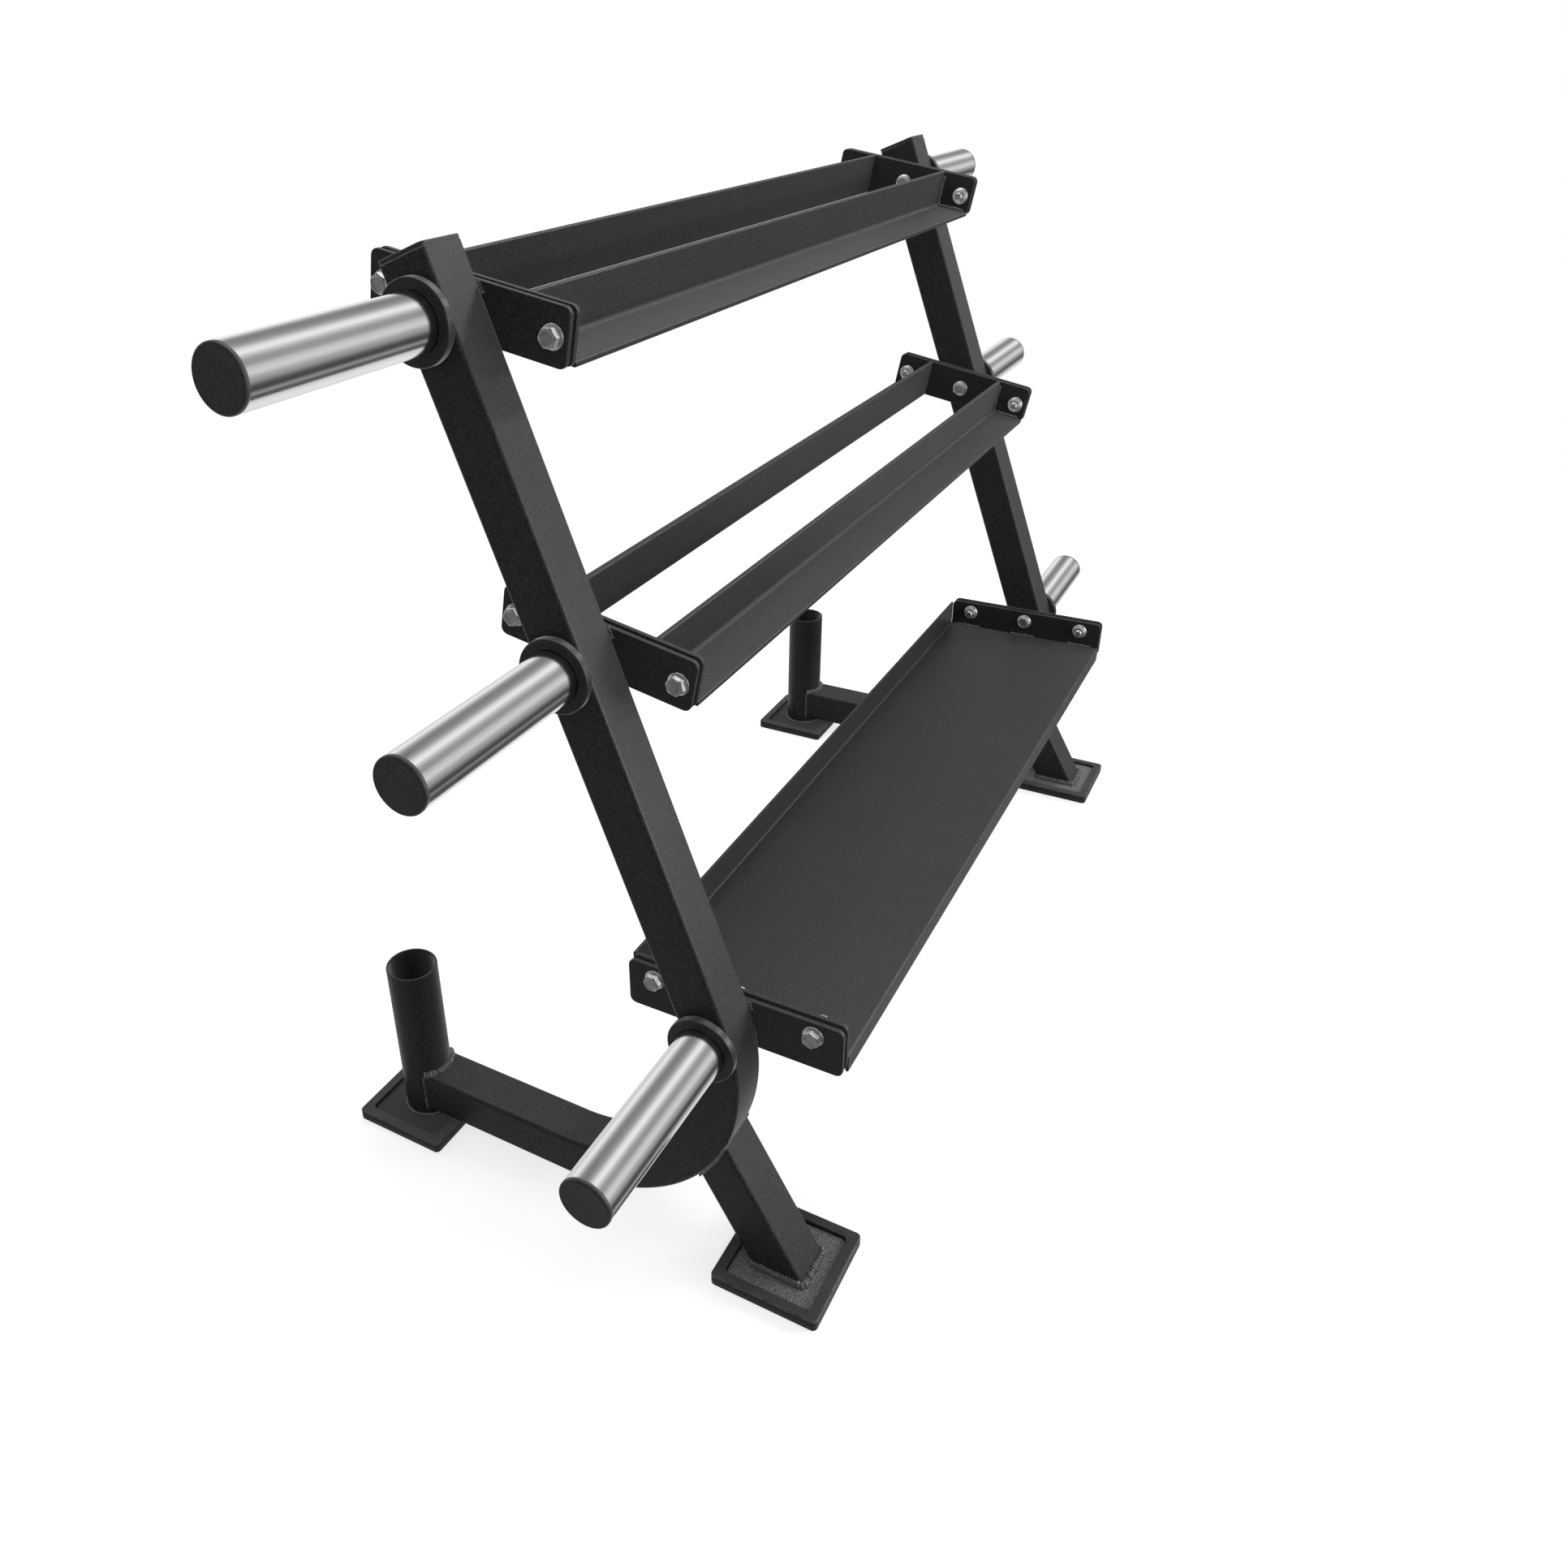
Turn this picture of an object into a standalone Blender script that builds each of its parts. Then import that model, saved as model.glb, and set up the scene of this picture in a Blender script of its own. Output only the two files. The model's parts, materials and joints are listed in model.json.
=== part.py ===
"""Three-tier dumbbell rack with plate pegs and bar holders, in metres, +Z up.

The rack stands on the floor at z = 0, its length along X and its front towards -Y.
Every sub-part is built round its own origin and then placed. Pieces that touch on the
real rack are drawn SEAM apart, so that no two solids share any space.
"""
import math

import bmesh
import bpy
from mathutils import Matrix, Vector

SEAM = 0.0003

# End frames
TUBE = 0.050
TUBE_CORNER = 0.0045
TUBE_WALL = 0.0025
CORNER_STEPS = 2
FRAME_OUTER_X = 0.565
FRAME_X = FRAME_OUTER_X - TUBE / 2
LEAN = math.radians(20.7)
TOP_FRONT = (0.080, 0.981)
BASE_UNDERSIDE = 0.0215
BEND_OUTER_RADIUS = 0.210
BEND_STEPS = 18
BEND_CUTTER_STEPS = 96
CAP_THICKNESS = 0.004
CAP_CORNER = 0.005
PLUG_DEPTH = 0.010
LEG_LEAN = math.radians(30.2)
LEG_STOCK = 0.210

# Feet
FOOT_Y = 0.2325
FOOT_SIZE = (0.119, 0.116)
FOOT_HEIGHT = 0.013
FOOT_CORNER = 0.0055
FOOT_RIM = 0.011
FOOT_FLOOR = 0.005
FOOT_EDGE = 0.0015
PLATE_MARGIN = 0.001
PLATE_THICKNESS = 0.0042
PLATE_CORNER = 0.005
PLATE_TOP = FOOT_FLOOR + SEAM + PLATE_THICKNESS

# Bar holders
HOLDER_Y = 0.230
HOLDER_RADIUS = 0.0285
HOLDER_WALL = 0.0025
HOLDER_TOP = 0.2105
HOLDER_STEPS = 36

# Shelf plates
SHELVES = ("top", "middle", "bottom")
SHELF_DROP = {"top": 0.054, "middle": 0.3545, "bottom": 0.731}
SHELF_SETBACK = 0.0228
SHELF_TILT = {"top": math.radians(11), "middle": math.radians(11), "bottom": 0.0}
PLATE_HALF_LENGTH = {"top": 0.100, "middle": 0.100, "bottom": 0.115}
PLATE_LOW = {"top": -0.024, "middle": -0.024, "bottom": -0.039}
PLATE_HIGH = {"top": 0.026, "middle": 0.026, "bottom": 0.015}
BRACKET_CORNER = 0.007
STEEL = 0.005
BOLT_SPACING = 0.085
BOSS_RADIUS = 0.010
BOSS_HEIGHT = 0.0042
BOSS_STEPS = 12
BOLT_HOLE = 0.0055
DRILL_REACH = 0.020
BRACKET_OUTER_X = FRAME_OUTER_X - TUBE - SEAM
END_PLATE_OUTER_X = BRACKET_OUTER_X - STEEL - BOSS_HEIGHT - SEAM
END_PLATE_INNER_X = END_PLATE_OUTER_X - STEEL
SPAN = 2 * (END_PLATE_INNER_X - SEAM)

# Angle rails of the two upper shelves
RAIL_LEG = 0.050
RAIL_INNER = 0.050
RAIL_ROOT = 0.004
RAIL_TOE = 0.0012

# Bottom tray
SHEET = 0.003
TRAY_TOP = -0.0235
TRAY_REAR = 0.118
TRAY_FRONT = 0.1155
TRAY_REAR_LIP_TOP = 0.012
TRAY_FRONT_LIP_LOW = -0.043
FOLD_INNER = 0.002

# Plate pegs
PEG_DROP = {"top": 0.053, "middle": 0.356, "bottom": 0.739}
PEG_SETBACK = 0.0290
PEG_RADIUS = 0.025
PEG_WALL = 0.003
PEG_LENGTH = 0.2035
PEG_STEPS = 32
COLLAR_RADIUS = 0.035
COLLAR_THICKNESS = 0.009
COLLAR_EDGE = 0.0012
END_CAP_THICKNESS = 0.0040
END_CAP_EDGE = 0.0020
END_CAP_PLUG = 0.014
END_CAP_STEPS = 28

# Centre bolts
HEAD_ACROSS_FLATS = 0.0165
HEAD_HEIGHT = 0.0065
WASHER_RADIUS = 0.0105
WASHER_HEIGHT = 0.0016
SHANK_RADIUS = 0.005
BOLT_STEPS = 16

SIDES = {"left": -1, "right": 1}
UP = Vector((0, math.sin(LEAN), math.cos(LEAN)))
BACK = Vector((0, math.cos(LEAN), -math.sin(LEAN)))
CORNER = Vector((0, TOP_FRONT[0], TOP_FRONT[1]))


def clear_scene():
    for obj in list(bpy.data.objects):
        bpy.data.objects.remove(obj, do_unlink=True)


def coating(name, colour, roughness, metallic):
    mat = bpy.data.materials.new(name)
    mat.use_nodes = True
    shader = mat.node_tree.nodes["Principled BSDF"]
    shader.inputs["Base Color"].default_value = (*colour, 1.0)
    shader.inputs["Roughness"].default_value = roughness
    shader.inputs["Metallic"].default_value = metallic
    return mat


def powder_coat():
    return coating("powder_coat", (0.030, 0.030, 0.032), 0.48, 0.0)


def chrome_plate():
    return coating("chrome_plate", (0.78, 0.78, 0.79), 0.09, 1.0)


def black_rubber():
    return coating("black_rubber", (0.022, 0.022, 0.022), 0.70, 0.0)


def black_plastic():
    return coating("black_plastic", (0.030, 0.030, 0.030), 0.38, 0.0)


def zinc_plate():
    return coating("zinc_plate", (0.55, 0.55, 0.54), 0.32, 1.0)


def finish(bm, name, material, smooth=False):
    """Close the mesh off as one named object with one material."""
    loose = [edge for edge in bm.edges if edge.is_wire]
    bmesh.ops.delete(bm, geom=loose, context="EDGES")
    bmesh.ops.remove_doubles(bm, verts=bm.verts, dist=1e-6)
    bmesh.ops.recalc_face_normals(bm, faces=bm.faces)
    mesh = bpy.data.meshes.new(name)
    bm.to_mesh(mesh)
    bm.free()
    if material:
        mesh.materials.append(material)
    if smooth:
        mesh.shade_smooth()
    obj = bpy.data.objects.new(name, mesh)
    bpy.context.scene.collection.objects.link(obj)
    return obj


def put(obj, location, tilt=0.0):
    obj.location = location
    obj.rotation_euler = (tilt, 0.0, 0.0)
    return obj


def combine(obj, tool, operation):
    """Cut the tool out of the object, or join it on, then throw the tool away."""
    tool.hide_render = True
    tool.display_type = "WIRE"
    step = obj.modifiers.new("combine", "BOOLEAN")
    step.operation = operation
    step.solver = "EXACT"
    step.object = tool
    bpy.context.view_layer.update()
    evaluated = obj.evaluated_get(bpy.context.evaluated_depsgraph_get())
    combined = bpy.data.meshes.new_from_object(evaluated)
    obj.modifiers.clear()
    obj.data = combined
    bpy.data.objects.remove(tool, do_unlink=True)
    return obj


def cut_away(obj, cutter):
    return combine(obj, cutter, "DIFFERENCE")


def join_on(obj, piece):
    return combine(obj, piece, "UNION")


def faces_of(result):
    return [item for item in result["geom"] if isinstance(item, bmesh.types.BMFace)]


def push(bm, faces, step, keep=False):
    """Extrude the faces by a step and return the moved ones."""
    moved = faces_of(bmesh.ops.extrude_face_region(bm, geom=faces, use_keep_orig=keep))
    corners = list({vert for face in moved for vert in face.verts})
    bmesh.ops.translate(bm, verts=corners, vec=step)
    old = [face for face in faces if face.is_valid and not keep]
    bmesh.ops.delete(bm, geom=old, context="FACES_ONLY")
    return moved


def rounded_rectangle(bm, width, depth, corner, steps):
    """One flat face in the XY plane with rounded corners."""
    grid = bmesh.ops.create_grid(bm, x_segments=1, y_segments=1, size=0.5)
    bmesh.ops.scale(bm, verts=grid["verts"], vec=(width, depth, 1.0))
    bmesh.ops.bevel(bm, geom=grid["verts"], offset=corner, segments=steps,
                    affect="VERTICES", profile=0.5, offset_type="OFFSET")
    return list(bm.faces)


def hollowed(bm, faces, wall):
    """Turn a flat face into a ring of faces, wall wide."""
    bmesh.ops.inset_region(bm, faces=faces, thickness=wall, use_even_offset=True,
                            use_boundary=True)
    bmesh.ops.delete(bm, geom=faces, context="FACES")
    return list(bm.faces)


def tube_section(bm):
    section = rounded_rectangle(bm, TUBE, TUBE, TUBE_CORNER, CORNER_STEPS)
    return hollowed(bm, section, TUBE_WALL)


def lathe(profile, steps):
    """Revolve a closed outline of (radius, x) pairs round the X axis."""
    bm = bmesh.new()
    verts = [bm.verts.new((x, 0.0, radius)) for radius, x in profile]
    edges = [bm.edges.new(pair) for pair in zip(verts, verts[1:])]
    if profile[0][0] > 0.0:
        edges.append(bm.edges.new((verts[-1], verts[0])))
    bmesh.ops.spin(bm, geom=verts + edges, cent=(0, 0, 0), axis=(1, 0, 0),
                   angle=2 * math.pi, steps=steps, use_merge=True)
    return bm


def round_edge(radius, x_flat, x_side, edge):
    """Points from a flat end face round to the side of a turned piece."""
    inward = math.copysign(edge, x_side - x_flat)
    return [(radius - edge, x_flat),
            (radius - edge * (1 - math.sqrt(0.5)), x_flat + inward * (1 - math.sqrt(0.5))),
            (radius, x_flat + inward)]


def along_upright(drop, setback):
    """A point on the upright: drop down from its top edge, setback behind its front."""
    return CORNER - UP * drop + BACK * setback


def bend_centre():
    height = BASE_UNDERSIDE + BEND_OUTER_RADIUS
    start = CORNER + BACK * BEND_OUTER_RADIUS
    drop = (start.z - height) / UP.z
    return start - UP * drop, drop


def frame_tube(side, material):
    """Upright, bend and base rail: one tube carried along its path from the rear end."""
    centre, drop = bend_centre()
    bm = bmesh.new()
    ring = tube_section(bm)
    height = BASE_UNDERSIDE + TUBE / 2
    turn = Matrix.Translation((0, HOLDER_Y, height)) @ Matrix.Rotation(math.pi / 2, 4, "X")
    bmesh.ops.transform(bm, verts=bm.verts, matrix=turn)
    ring = push(bm, ring, (0, centre.y - HOLDER_Y, 0), keep=True)
    swept = bmesh.ops.spin(bm, geom=ring, cent=centre, axis=(1, 0, 0),
                           angle=-(math.pi / 2 + LEAN), steps=BEND_STEPS)
    inner = [face for face in ring if face.is_valid]
    bmesh.ops.delete(bm, geom=inner, context="FACES_ONLY")
    last = [item for item in swept["geom_last"] if isinstance(item, bmesh.types.BMFace)]
    push(bm, last, UP * (drop - CAP_THICKNESS - SEAM))
    obj = finish(bm, f"frame_tube_{side}", material)
    put(obj, (SIDES[side] * FRAME_X, 0, 0))
    return cut_away(obj, holder_cutter(side))


def holder_cutter(side):
    bm = bmesh.new()
    radius = HOLDER_RADIUS + SEAM
    bmesh.ops.create_cone(bm, cap_ends=True, segments=HOLDER_STEPS, radius1=radius,
                          radius2=radius, depth=2 * HOLDER_TOP)
    return put(finish(bm, "holder_cutter", None), (SIDES[side] * FRAME_X, HOLDER_Y, 0))


def bend_cutter(side):
    centre = bend_centre()[0]
    bm = bmesh.new()
    radius = BEND_OUTER_RADIUS + SEAM
    bmesh.ops.create_cone(bm, cap_ends=True, segments=BEND_CUTTER_STEPS,
                          radius1=radius, radius2=radius, depth=2 * TUBE)
    bmesh.ops.rotate(bm, verts=bm.verts, cent=(0, 0, 0),
                     matrix=Matrix.Rotation(math.pi / 2, 3, "Y"))
    return put(finish(bm, "bend_cutter", None), (SIDES[side] * FRAME_X, centre.y, centre.z))


def front_leg(side, material):
    """Straight leg from the foot plate up to the outside of the bend."""
    bm = bmesh.new()
    ring = tube_section(bm)
    low = PLATE_TOP + SEAM
    for vert in bm.verts:
        vert.co.z = vert.co.y * math.tan(LEG_LEAN)
    head = push(bm, ring, (0, 0, LEG_STOCK), keep=True)
    for vert in {vert for face in head for vert in face.verts}:
        vert.co.z = LEG_STOCK
    obj = finish(bm, f"front_leg_{side}", material)
    put(obj, (SIDES[side] * FRAME_X, -FOOT_Y, low), -LEG_LEAN)
    return cut_away(obj, bend_cutter(side))


def upright_cap(side, material):
    """Flat cap with a plug that sits inside the top of the upright."""
    bm = bmesh.new()
    face = rounded_rectangle(bm, TUBE, TUBE, CAP_CORNER, CORNER_STEPS)
    under = push(bm, face, (0, 0, -CAP_THICKNESS), keep=True)
    bmesh.ops.inset_region(bm, faces=under, thickness=TUBE_WALL + SEAM, use_even_offset=True)
    push(bm, under, (0, 0, -PLUG_DEPTH))
    obj = finish(bm, f"upright_cap_{side}", material)
    centre = along_upright(0.0, TUBE / 2)
    return put(obj, (SIDES[side] * FRAME_X, centre.y, centre.z), -LEAN)


def bar_holder(side, material):
    bm = bmesh.new()
    bmesh.ops.create_circle(bm, cap_ends=True, segments=HOLDER_STEPS, radius=HOLDER_RADIUS)
    ring = hollowed(bm, list(bm.faces), HOLDER_WALL)
    low = PLATE_TOP + SEAM
    push(bm, ring, (0, 0, HOLDER_TOP - low), keep=True)
    obj = finish(bm, f"bar_holder_{side}", material, smooth=True)
    return put(obj, (SIDES[side] * FRAME_X, HOLDER_Y, low))


def foot_plate(end, side, material):
    bm = bmesh.new()
    trim = 2 * (FOOT_RIM + PLATE_MARGIN)
    face = rounded_rectangle(bm, FOOT_SIZE[0] - trim, FOOT_SIZE[1] - trim, PLATE_CORNER, 2)
    push(bm, face, (0, 0, PLATE_THICKNESS), keep=True)
    obj = finish(bm, f"foot_plate_{end}_{side}", material)
    return put(obj, foot_spot(end, side, FOOT_FLOOR + SEAM))


def rubber_foot(end, side, material):
    """Rubber shoe: a block with a shallow well that the foot plate lies in."""
    bm = bmesh.new()
    face = rounded_rectangle(bm, FOOT_SIZE[0], FOOT_SIZE[1], FOOT_CORNER, CORNER_STEPS)
    top = push(bm, face, (0, 0, FOOT_HEIGHT), keep=True)
    bmesh.ops.bevel(bm, geom=list(top[0].edges), offset=FOOT_EDGE, segments=2,
                    affect="EDGES", profile=0.5, offset_type="OFFSET")
    obj = finish(bm, f"rubber_foot_{end}_{side}", material)
    return put(cut_away(obj, well_cutter()), foot_spot(end, side, 0.0))


def well_cutter():
    bm = bmesh.new()
    face = rounded_rectangle(bm, FOOT_SIZE[0] - 2 * FOOT_RIM, FOOT_SIZE[1] - 2 * FOOT_RIM,
                             PLATE_CORNER + PLATE_MARGIN, CORNER_STEPS)
    push(bm, face, (0, 0, FOOT_HEIGHT), keep=True)
    return put(finish(bm, "well_cutter", None), (0, 0, FOOT_FLOOR))


def foot_spot(end, side, height):
    return (SIDES[side] * FRAME_X, -FOOT_Y if end == "front" else FOOT_Y, height)


def shelf_spot(shelf):
    return along_upright(SHELF_DROP[shelf], SHELF_SETBACK)


def shelf_plate(shelf, side):
    """Upright plate of one shelf end, its bolt line on the local origin, along +X."""
    bm = bmesh.new()
    low, high = PLATE_LOW[shelf], PLATE_HIGH[shelf]
    face = rounded_rectangle(bm, high - low, 2 * PLATE_HALF_LENGTH[shelf], BRACKET_CORNER, 2)
    stand = Matrix.Translation((0, 0, (low + high) / 2)) @ Matrix.Rotation(-math.pi / 2, 4, "Y")
    bmesh.ops.transform(bm, verts=bm.verts, matrix=stand)
    push(bm, face, (-SIDES[side] * STEEL, 0, 0), keep=True)
    return bm


def round_bar(name, radius, start, end, steps, material=None):
    """Solid bar along X from one x to the other."""
    bm = bmesh.new()
    bmesh.ops.create_cone(bm, cap_ends=True, segments=steps, radius1=radius, radius2=radius,
                          depth=abs(end - start))
    lay = Matrix.Translation(((start + end) / 2, 0, 0)) @ Matrix.Rotation(math.pi / 2, 4, "Y")
    bmesh.ops.transform(bm, verts=bm.verts, matrix=lay)
    return finish(bm, name, material)


def bracket(shelf, side, material):
    """Plate welded to the upright, with three spacer bosses on its inner face."""
    inward = -SIDES[side]
    obj = finish(shelf_plate(shelf, side), f"bracket_{shelf}_{side}", material)
    for y in (-BOLT_SPACING, 0.0, BOLT_SPACING):
        boss = round_bar("boss", BOSS_RADIUS, inward * STEEL / 2,
                         inward * (STEEL + BOSS_HEIGHT), BOSS_STEPS, material)
        join_on(obj, put(boss, (0, y, 0)))
    return on_shelf(bolt_hole(obj), shelf, SIDES[side] * BRACKET_OUTER_X)


def end_plate(shelf, side, material):
    """Shelf end plate, bolted up against the bracket's bosses."""
    obj = finish(shelf_plate(shelf, side), f"end_plate_{shelf}_{side}", material)
    return on_shelf(bolt_hole(obj), shelf, SIDES[side] * END_PLATE_OUTER_X)


def bolt_hole(obj):
    return cut_away(obj, round_bar("drill", BOLT_HOLE, -DRILL_REACH, DRILL_REACH, BOSS_STEPS))


def on_shelf(obj, shelf, x):
    spot = shelf_spot(shelf)
    return put(obj, (x, spot.y, spot.z), SHELF_TILT[shelf])


def centre_bolt(shelf, side, material):
    """Hex bolt with its washer face, put in from the inside of the shelf."""
    inward = -SIDES[side]
    length = STEEL + SEAM + BOSS_HEIGHT + STEEL
    obj = round_bar(f"centre_bolt_{shelf}_{side}", SHANK_RADIUS, -inward * length,
                    inward * (SEAM + WASHER_HEIGHT / 2), BOSS_STEPS, material)
    washer = round_bar("washer", WASHER_RADIUS, inward * SEAM,
                       inward * (SEAM + WASHER_HEIGHT), BOLT_STEPS, material)
    join_on(obj, washer)
    head = round_bar("head", HEAD_ACROSS_FLATS / math.sqrt(3), inward * (SEAM + WASHER_HEIGHT / 2),
                     inward * (SEAM + HEAD_HEIGHT), 6, material)
    join_on(obj, head)
    return on_shelf(obj, shelf, SIDES[side] * END_PLATE_INNER_X)


def long_edges(bm, y, z):
    """Edges along X whose ends sit at the given y and z."""
    return [edge for edge in bm.edges
            if all(abs(vert.co.y - y) < 1e-6 and abs(vert.co.z - z) < 1e-6
                   for vert in edge.verts)]


def rounded(bm, places, radius, steps):
    edges = [edge for y, z in places for edge in long_edges(bm, y, z)]
    bmesh.ops.bevel(bm, geom=edges, offset=radius, segments=steps, affect="EDGES",
                    profile=0.5, offset_type="OFFSET")


def bar_block(bm, y_low, y_high, z_low, z_high):
    """Square-edged bar as long as a shelf, the stock that a section grows from."""
    block = bmesh.ops.create_cube(bm, size=1.0)
    middle = Vector((0, (y_low + y_high) / 2, (z_low + z_high) / 2))
    size = Matrix.Diagonal((SPAN, y_high - y_low, z_high - z_low, 1.0))
    bmesh.ops.transform(bm, verts=block["verts"], matrix=Matrix.Translation(middle) @ size)


def face_towards(bm, direction):
    """The flat face that lies furthest out in one direction."""
    out = Vector(direction)
    return [max(bm.faces, key=lambda flat: flat.calc_center_median().dot(out))]


def rail(shelf, row, material):
    """Steel angle, one leg upright and the other reaching out from the shelf's middle."""
    out = -1 if row == "front" else 1
    low = PLATE_LOW[shelf]
    y_back, y_face = out * RAIL_INNER, out * (RAIL_INNER + STEEL)
    y_toe = out * (RAIL_INNER + RAIL_LEG)
    bm = bmesh.new()
    bar_block(bm, min(y_back, y_face), max(y_back, y_face), low, low + STEEL)
    bmesh.ops.recalc_face_normals(bm, faces=bm.faces)
    upright = face_towards(bm, (0, 0, 1))
    outer = face_towards(bm, (0, out, 0))
    push(bm, upright, (0, 0, RAIL_LEG - STEEL))
    push(bm, outer, (0, y_toe - y_face, 0))
    rounded(bm, [(y_face, low + STEEL)], RAIL_ROOT, 3)
    rounded(bm, [(y_toe, low + STEEL), (y_face, low + RAIL_LEG), (y_back, low + RAIL_LEG)],
            RAIL_TOE, 2)
    return on_shelf(finish(bm, f"rail_{shelf}_{row}", material), shelf, 0)


def tray(material):
    """Folded sheet: flat floor, rear lip turned up and front lip turned down."""
    rear, front = TRAY_REAR, -TRAY_FRONT
    floor_low = TRAY_TOP - SHEET
    bm = bmesh.new()
    bar_block(bm, rear - SHEET, rear, floor_low, TRAY_TOP)
    bmesh.ops.recalc_face_normals(bm, faces=bm.faces)
    lip = face_towards(bm, (0, 0, 1))
    floor = face_towards(bm, (0, -1, 0))
    push(bm, lip, (0, 0, TRAY_REAR_LIP_TOP - TRAY_TOP))
    floor = push(bm, floor, (0, front + SHEET - rear + SHEET, 0))
    floor = push(bm, floor, (0, -SHEET, 0))
    under = [face for face in bm.faces
             if abs(face.calc_center_median().y - (front + SHEET / 2)) < 1e-6
             and abs(face.calc_center_median().z - floor_low) < 1e-6]
    push(bm, under, (0, 0, TRAY_FRONT_LIP_LOW - floor_low))
    outer = FOLD_INNER + SHEET
    rounded(bm, [(rear - SHEET, TRAY_TOP)], FOLD_INNER, 2)
    rounded(bm, [(front + SHEET, floor_low)], FOLD_INNER, 2)
    rounded(bm, [(rear, floor_low), (front, TRAY_TOP)], outer, 3)
    return on_shelf(finish(bm, "tray", material), "bottom", 0)


def on_upright(obj, shelf, side, out=0.0):
    """Place a piece on the upright's outer face, out along the peg's axis."""
    spot = along_upright(PEG_DROP[shelf], PEG_SETBACK)
    return put(obj, (SIDES[side] * (FRAME_OUTER_X + SEAM + out), spot.y, spot.z))


def turned(profile, steps, side, name, material):
    """A turned piece, its outline given with x running outwards from the rack."""
    bm = lathe([(radius, SIDES[side] * x) for radius, x in profile], steps)
    return finish(bm, name, material, smooth=True)


def peg(shelf, side, material):
    bore = PEG_RADIUS - PEG_WALL
    outline = [(PEG_RADIUS, 0.0), (PEG_RADIUS, PEG_LENGTH), (bore, PEG_LENGTH), (bore, 0.0)]
    return on_upright(turned(outline, PEG_STEPS, side, f"peg_{shelf}_{side}", material),
                      shelf, side)


def collar(shelf, side, material):
    bore = PEG_RADIUS + SEAM
    face = round_edge(COLLAR_RADIUS, COLLAR_THICKNESS, 0.0, COLLAR_EDGE)
    back = round_edge(COLLAR_RADIUS, 0.0, COLLAR_THICKNESS, COLLAR_EDGE)
    outline = [(bore, COLLAR_THICKNESS), *face, *reversed(back), (bore, 0.0)]
    return on_upright(turned(outline, PEG_STEPS, side, f"collar_{shelf}_{side}", material),
                      shelf, side)


def end_cap(shelf, side, material):
    """Push-in cap: a rounded disc over the tube's end and a plug inside it."""
    plug = PEG_RADIUS - PEG_WALL - SEAM
    disc = round_edge(PEG_RADIUS, END_CAP_THICKNESS, 0.0, END_CAP_EDGE)
    outline = [(0.0, END_CAP_THICKNESS), *disc, (PEG_RADIUS, 0.0), (plug, 0.0),
               (plug, -END_CAP_PLUG), (0.0, -END_CAP_PLUG)]
    obj = turned(outline, END_CAP_STEPS, side, f"end_cap_{shelf}_{side}", material)
    return on_upright(obj, shelf, side, PEG_LENGTH + SEAM)


def build_end(side, coat, chrome, rubber, plastic, zinc):
    frame_tube(side, coat)
    front_leg(side, coat)
    upright_cap(side, plastic)
    bar_holder(side, coat)
    for end in ("front", "rear"):
        foot_plate(end, side, coat)
        rubber_foot(end, side, rubber)
    for shelf in SHELVES:
        bracket(shelf, side, coat)
        end_plate(shelf, side, coat)
        centre_bolt(shelf, side, zinc)
        peg(shelf, side, chrome)
        collar(shelf, side, plastic)
        end_cap(shelf, side, plastic)


def build():
    clear_scene()
    coat = powder_coat()
    finishes = (coat, chrome_plate(), black_rubber(), black_plastic(), zinc_plate())
    for side in SIDES:
        build_end(side, *finishes)
    for shelf in ("top", "middle"):
        for row in ("front", "rear"):
            rail(shelf, row, coat)
    tray(coat)


build()
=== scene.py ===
# %% [markdown]
# # A dumbbell rack, piece by piece
# The rack is welded and bolted steel: two leaning end frames, three shelves, six chrome
# pegs for weight plates and two upright holders for bars. The engineering model is loaded
# first and fixes every size. Each visible piece is then built again on the same spot with
# rounded edges, welds and threads, and is given a finish of its own.

# %% Load the fixed frame
import json
import math

import bmesh
import bpy
from mathutils import Matrix, Vector, noise

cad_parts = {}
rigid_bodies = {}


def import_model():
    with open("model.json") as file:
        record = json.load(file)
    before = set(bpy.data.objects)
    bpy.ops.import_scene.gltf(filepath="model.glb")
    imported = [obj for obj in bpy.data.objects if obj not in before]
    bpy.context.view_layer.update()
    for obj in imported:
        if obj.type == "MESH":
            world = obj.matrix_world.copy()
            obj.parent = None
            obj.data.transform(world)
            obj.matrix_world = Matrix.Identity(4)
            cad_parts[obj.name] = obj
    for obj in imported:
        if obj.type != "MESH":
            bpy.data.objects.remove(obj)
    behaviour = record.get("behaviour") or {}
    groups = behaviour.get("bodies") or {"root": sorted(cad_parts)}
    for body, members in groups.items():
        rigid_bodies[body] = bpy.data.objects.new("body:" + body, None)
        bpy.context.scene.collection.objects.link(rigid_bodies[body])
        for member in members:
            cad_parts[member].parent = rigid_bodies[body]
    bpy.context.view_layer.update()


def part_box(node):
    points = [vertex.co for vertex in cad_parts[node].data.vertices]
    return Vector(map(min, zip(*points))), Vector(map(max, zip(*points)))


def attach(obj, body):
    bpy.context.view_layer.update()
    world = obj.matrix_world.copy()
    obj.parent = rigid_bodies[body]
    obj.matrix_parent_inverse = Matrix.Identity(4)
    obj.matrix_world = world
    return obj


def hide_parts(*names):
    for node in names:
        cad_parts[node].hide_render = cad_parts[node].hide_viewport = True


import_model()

# %% [markdown]
# ## Camera
# The camera comes first, so that every later choice can be judged from one place. It stands
# at chest height just off the rack's left end, a little in front of it, with a moderately
# wide lens. A small shift of the lens puts the rack left of the middle without turning the
# camera.

# %% Camera
EYE = Vector((-1.34213, -0.57797, 1.10312))
LOOK = Vector((0.7517, 0.46137, -0.47126)).normalized()
SKYWARD = Vector((0.42224, 0.21223, 0.88129))
LENS_MM, SENSOR_MM = 28.69, 36.0
LENS_SHIFT = (0.0902, -0.0429)


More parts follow.
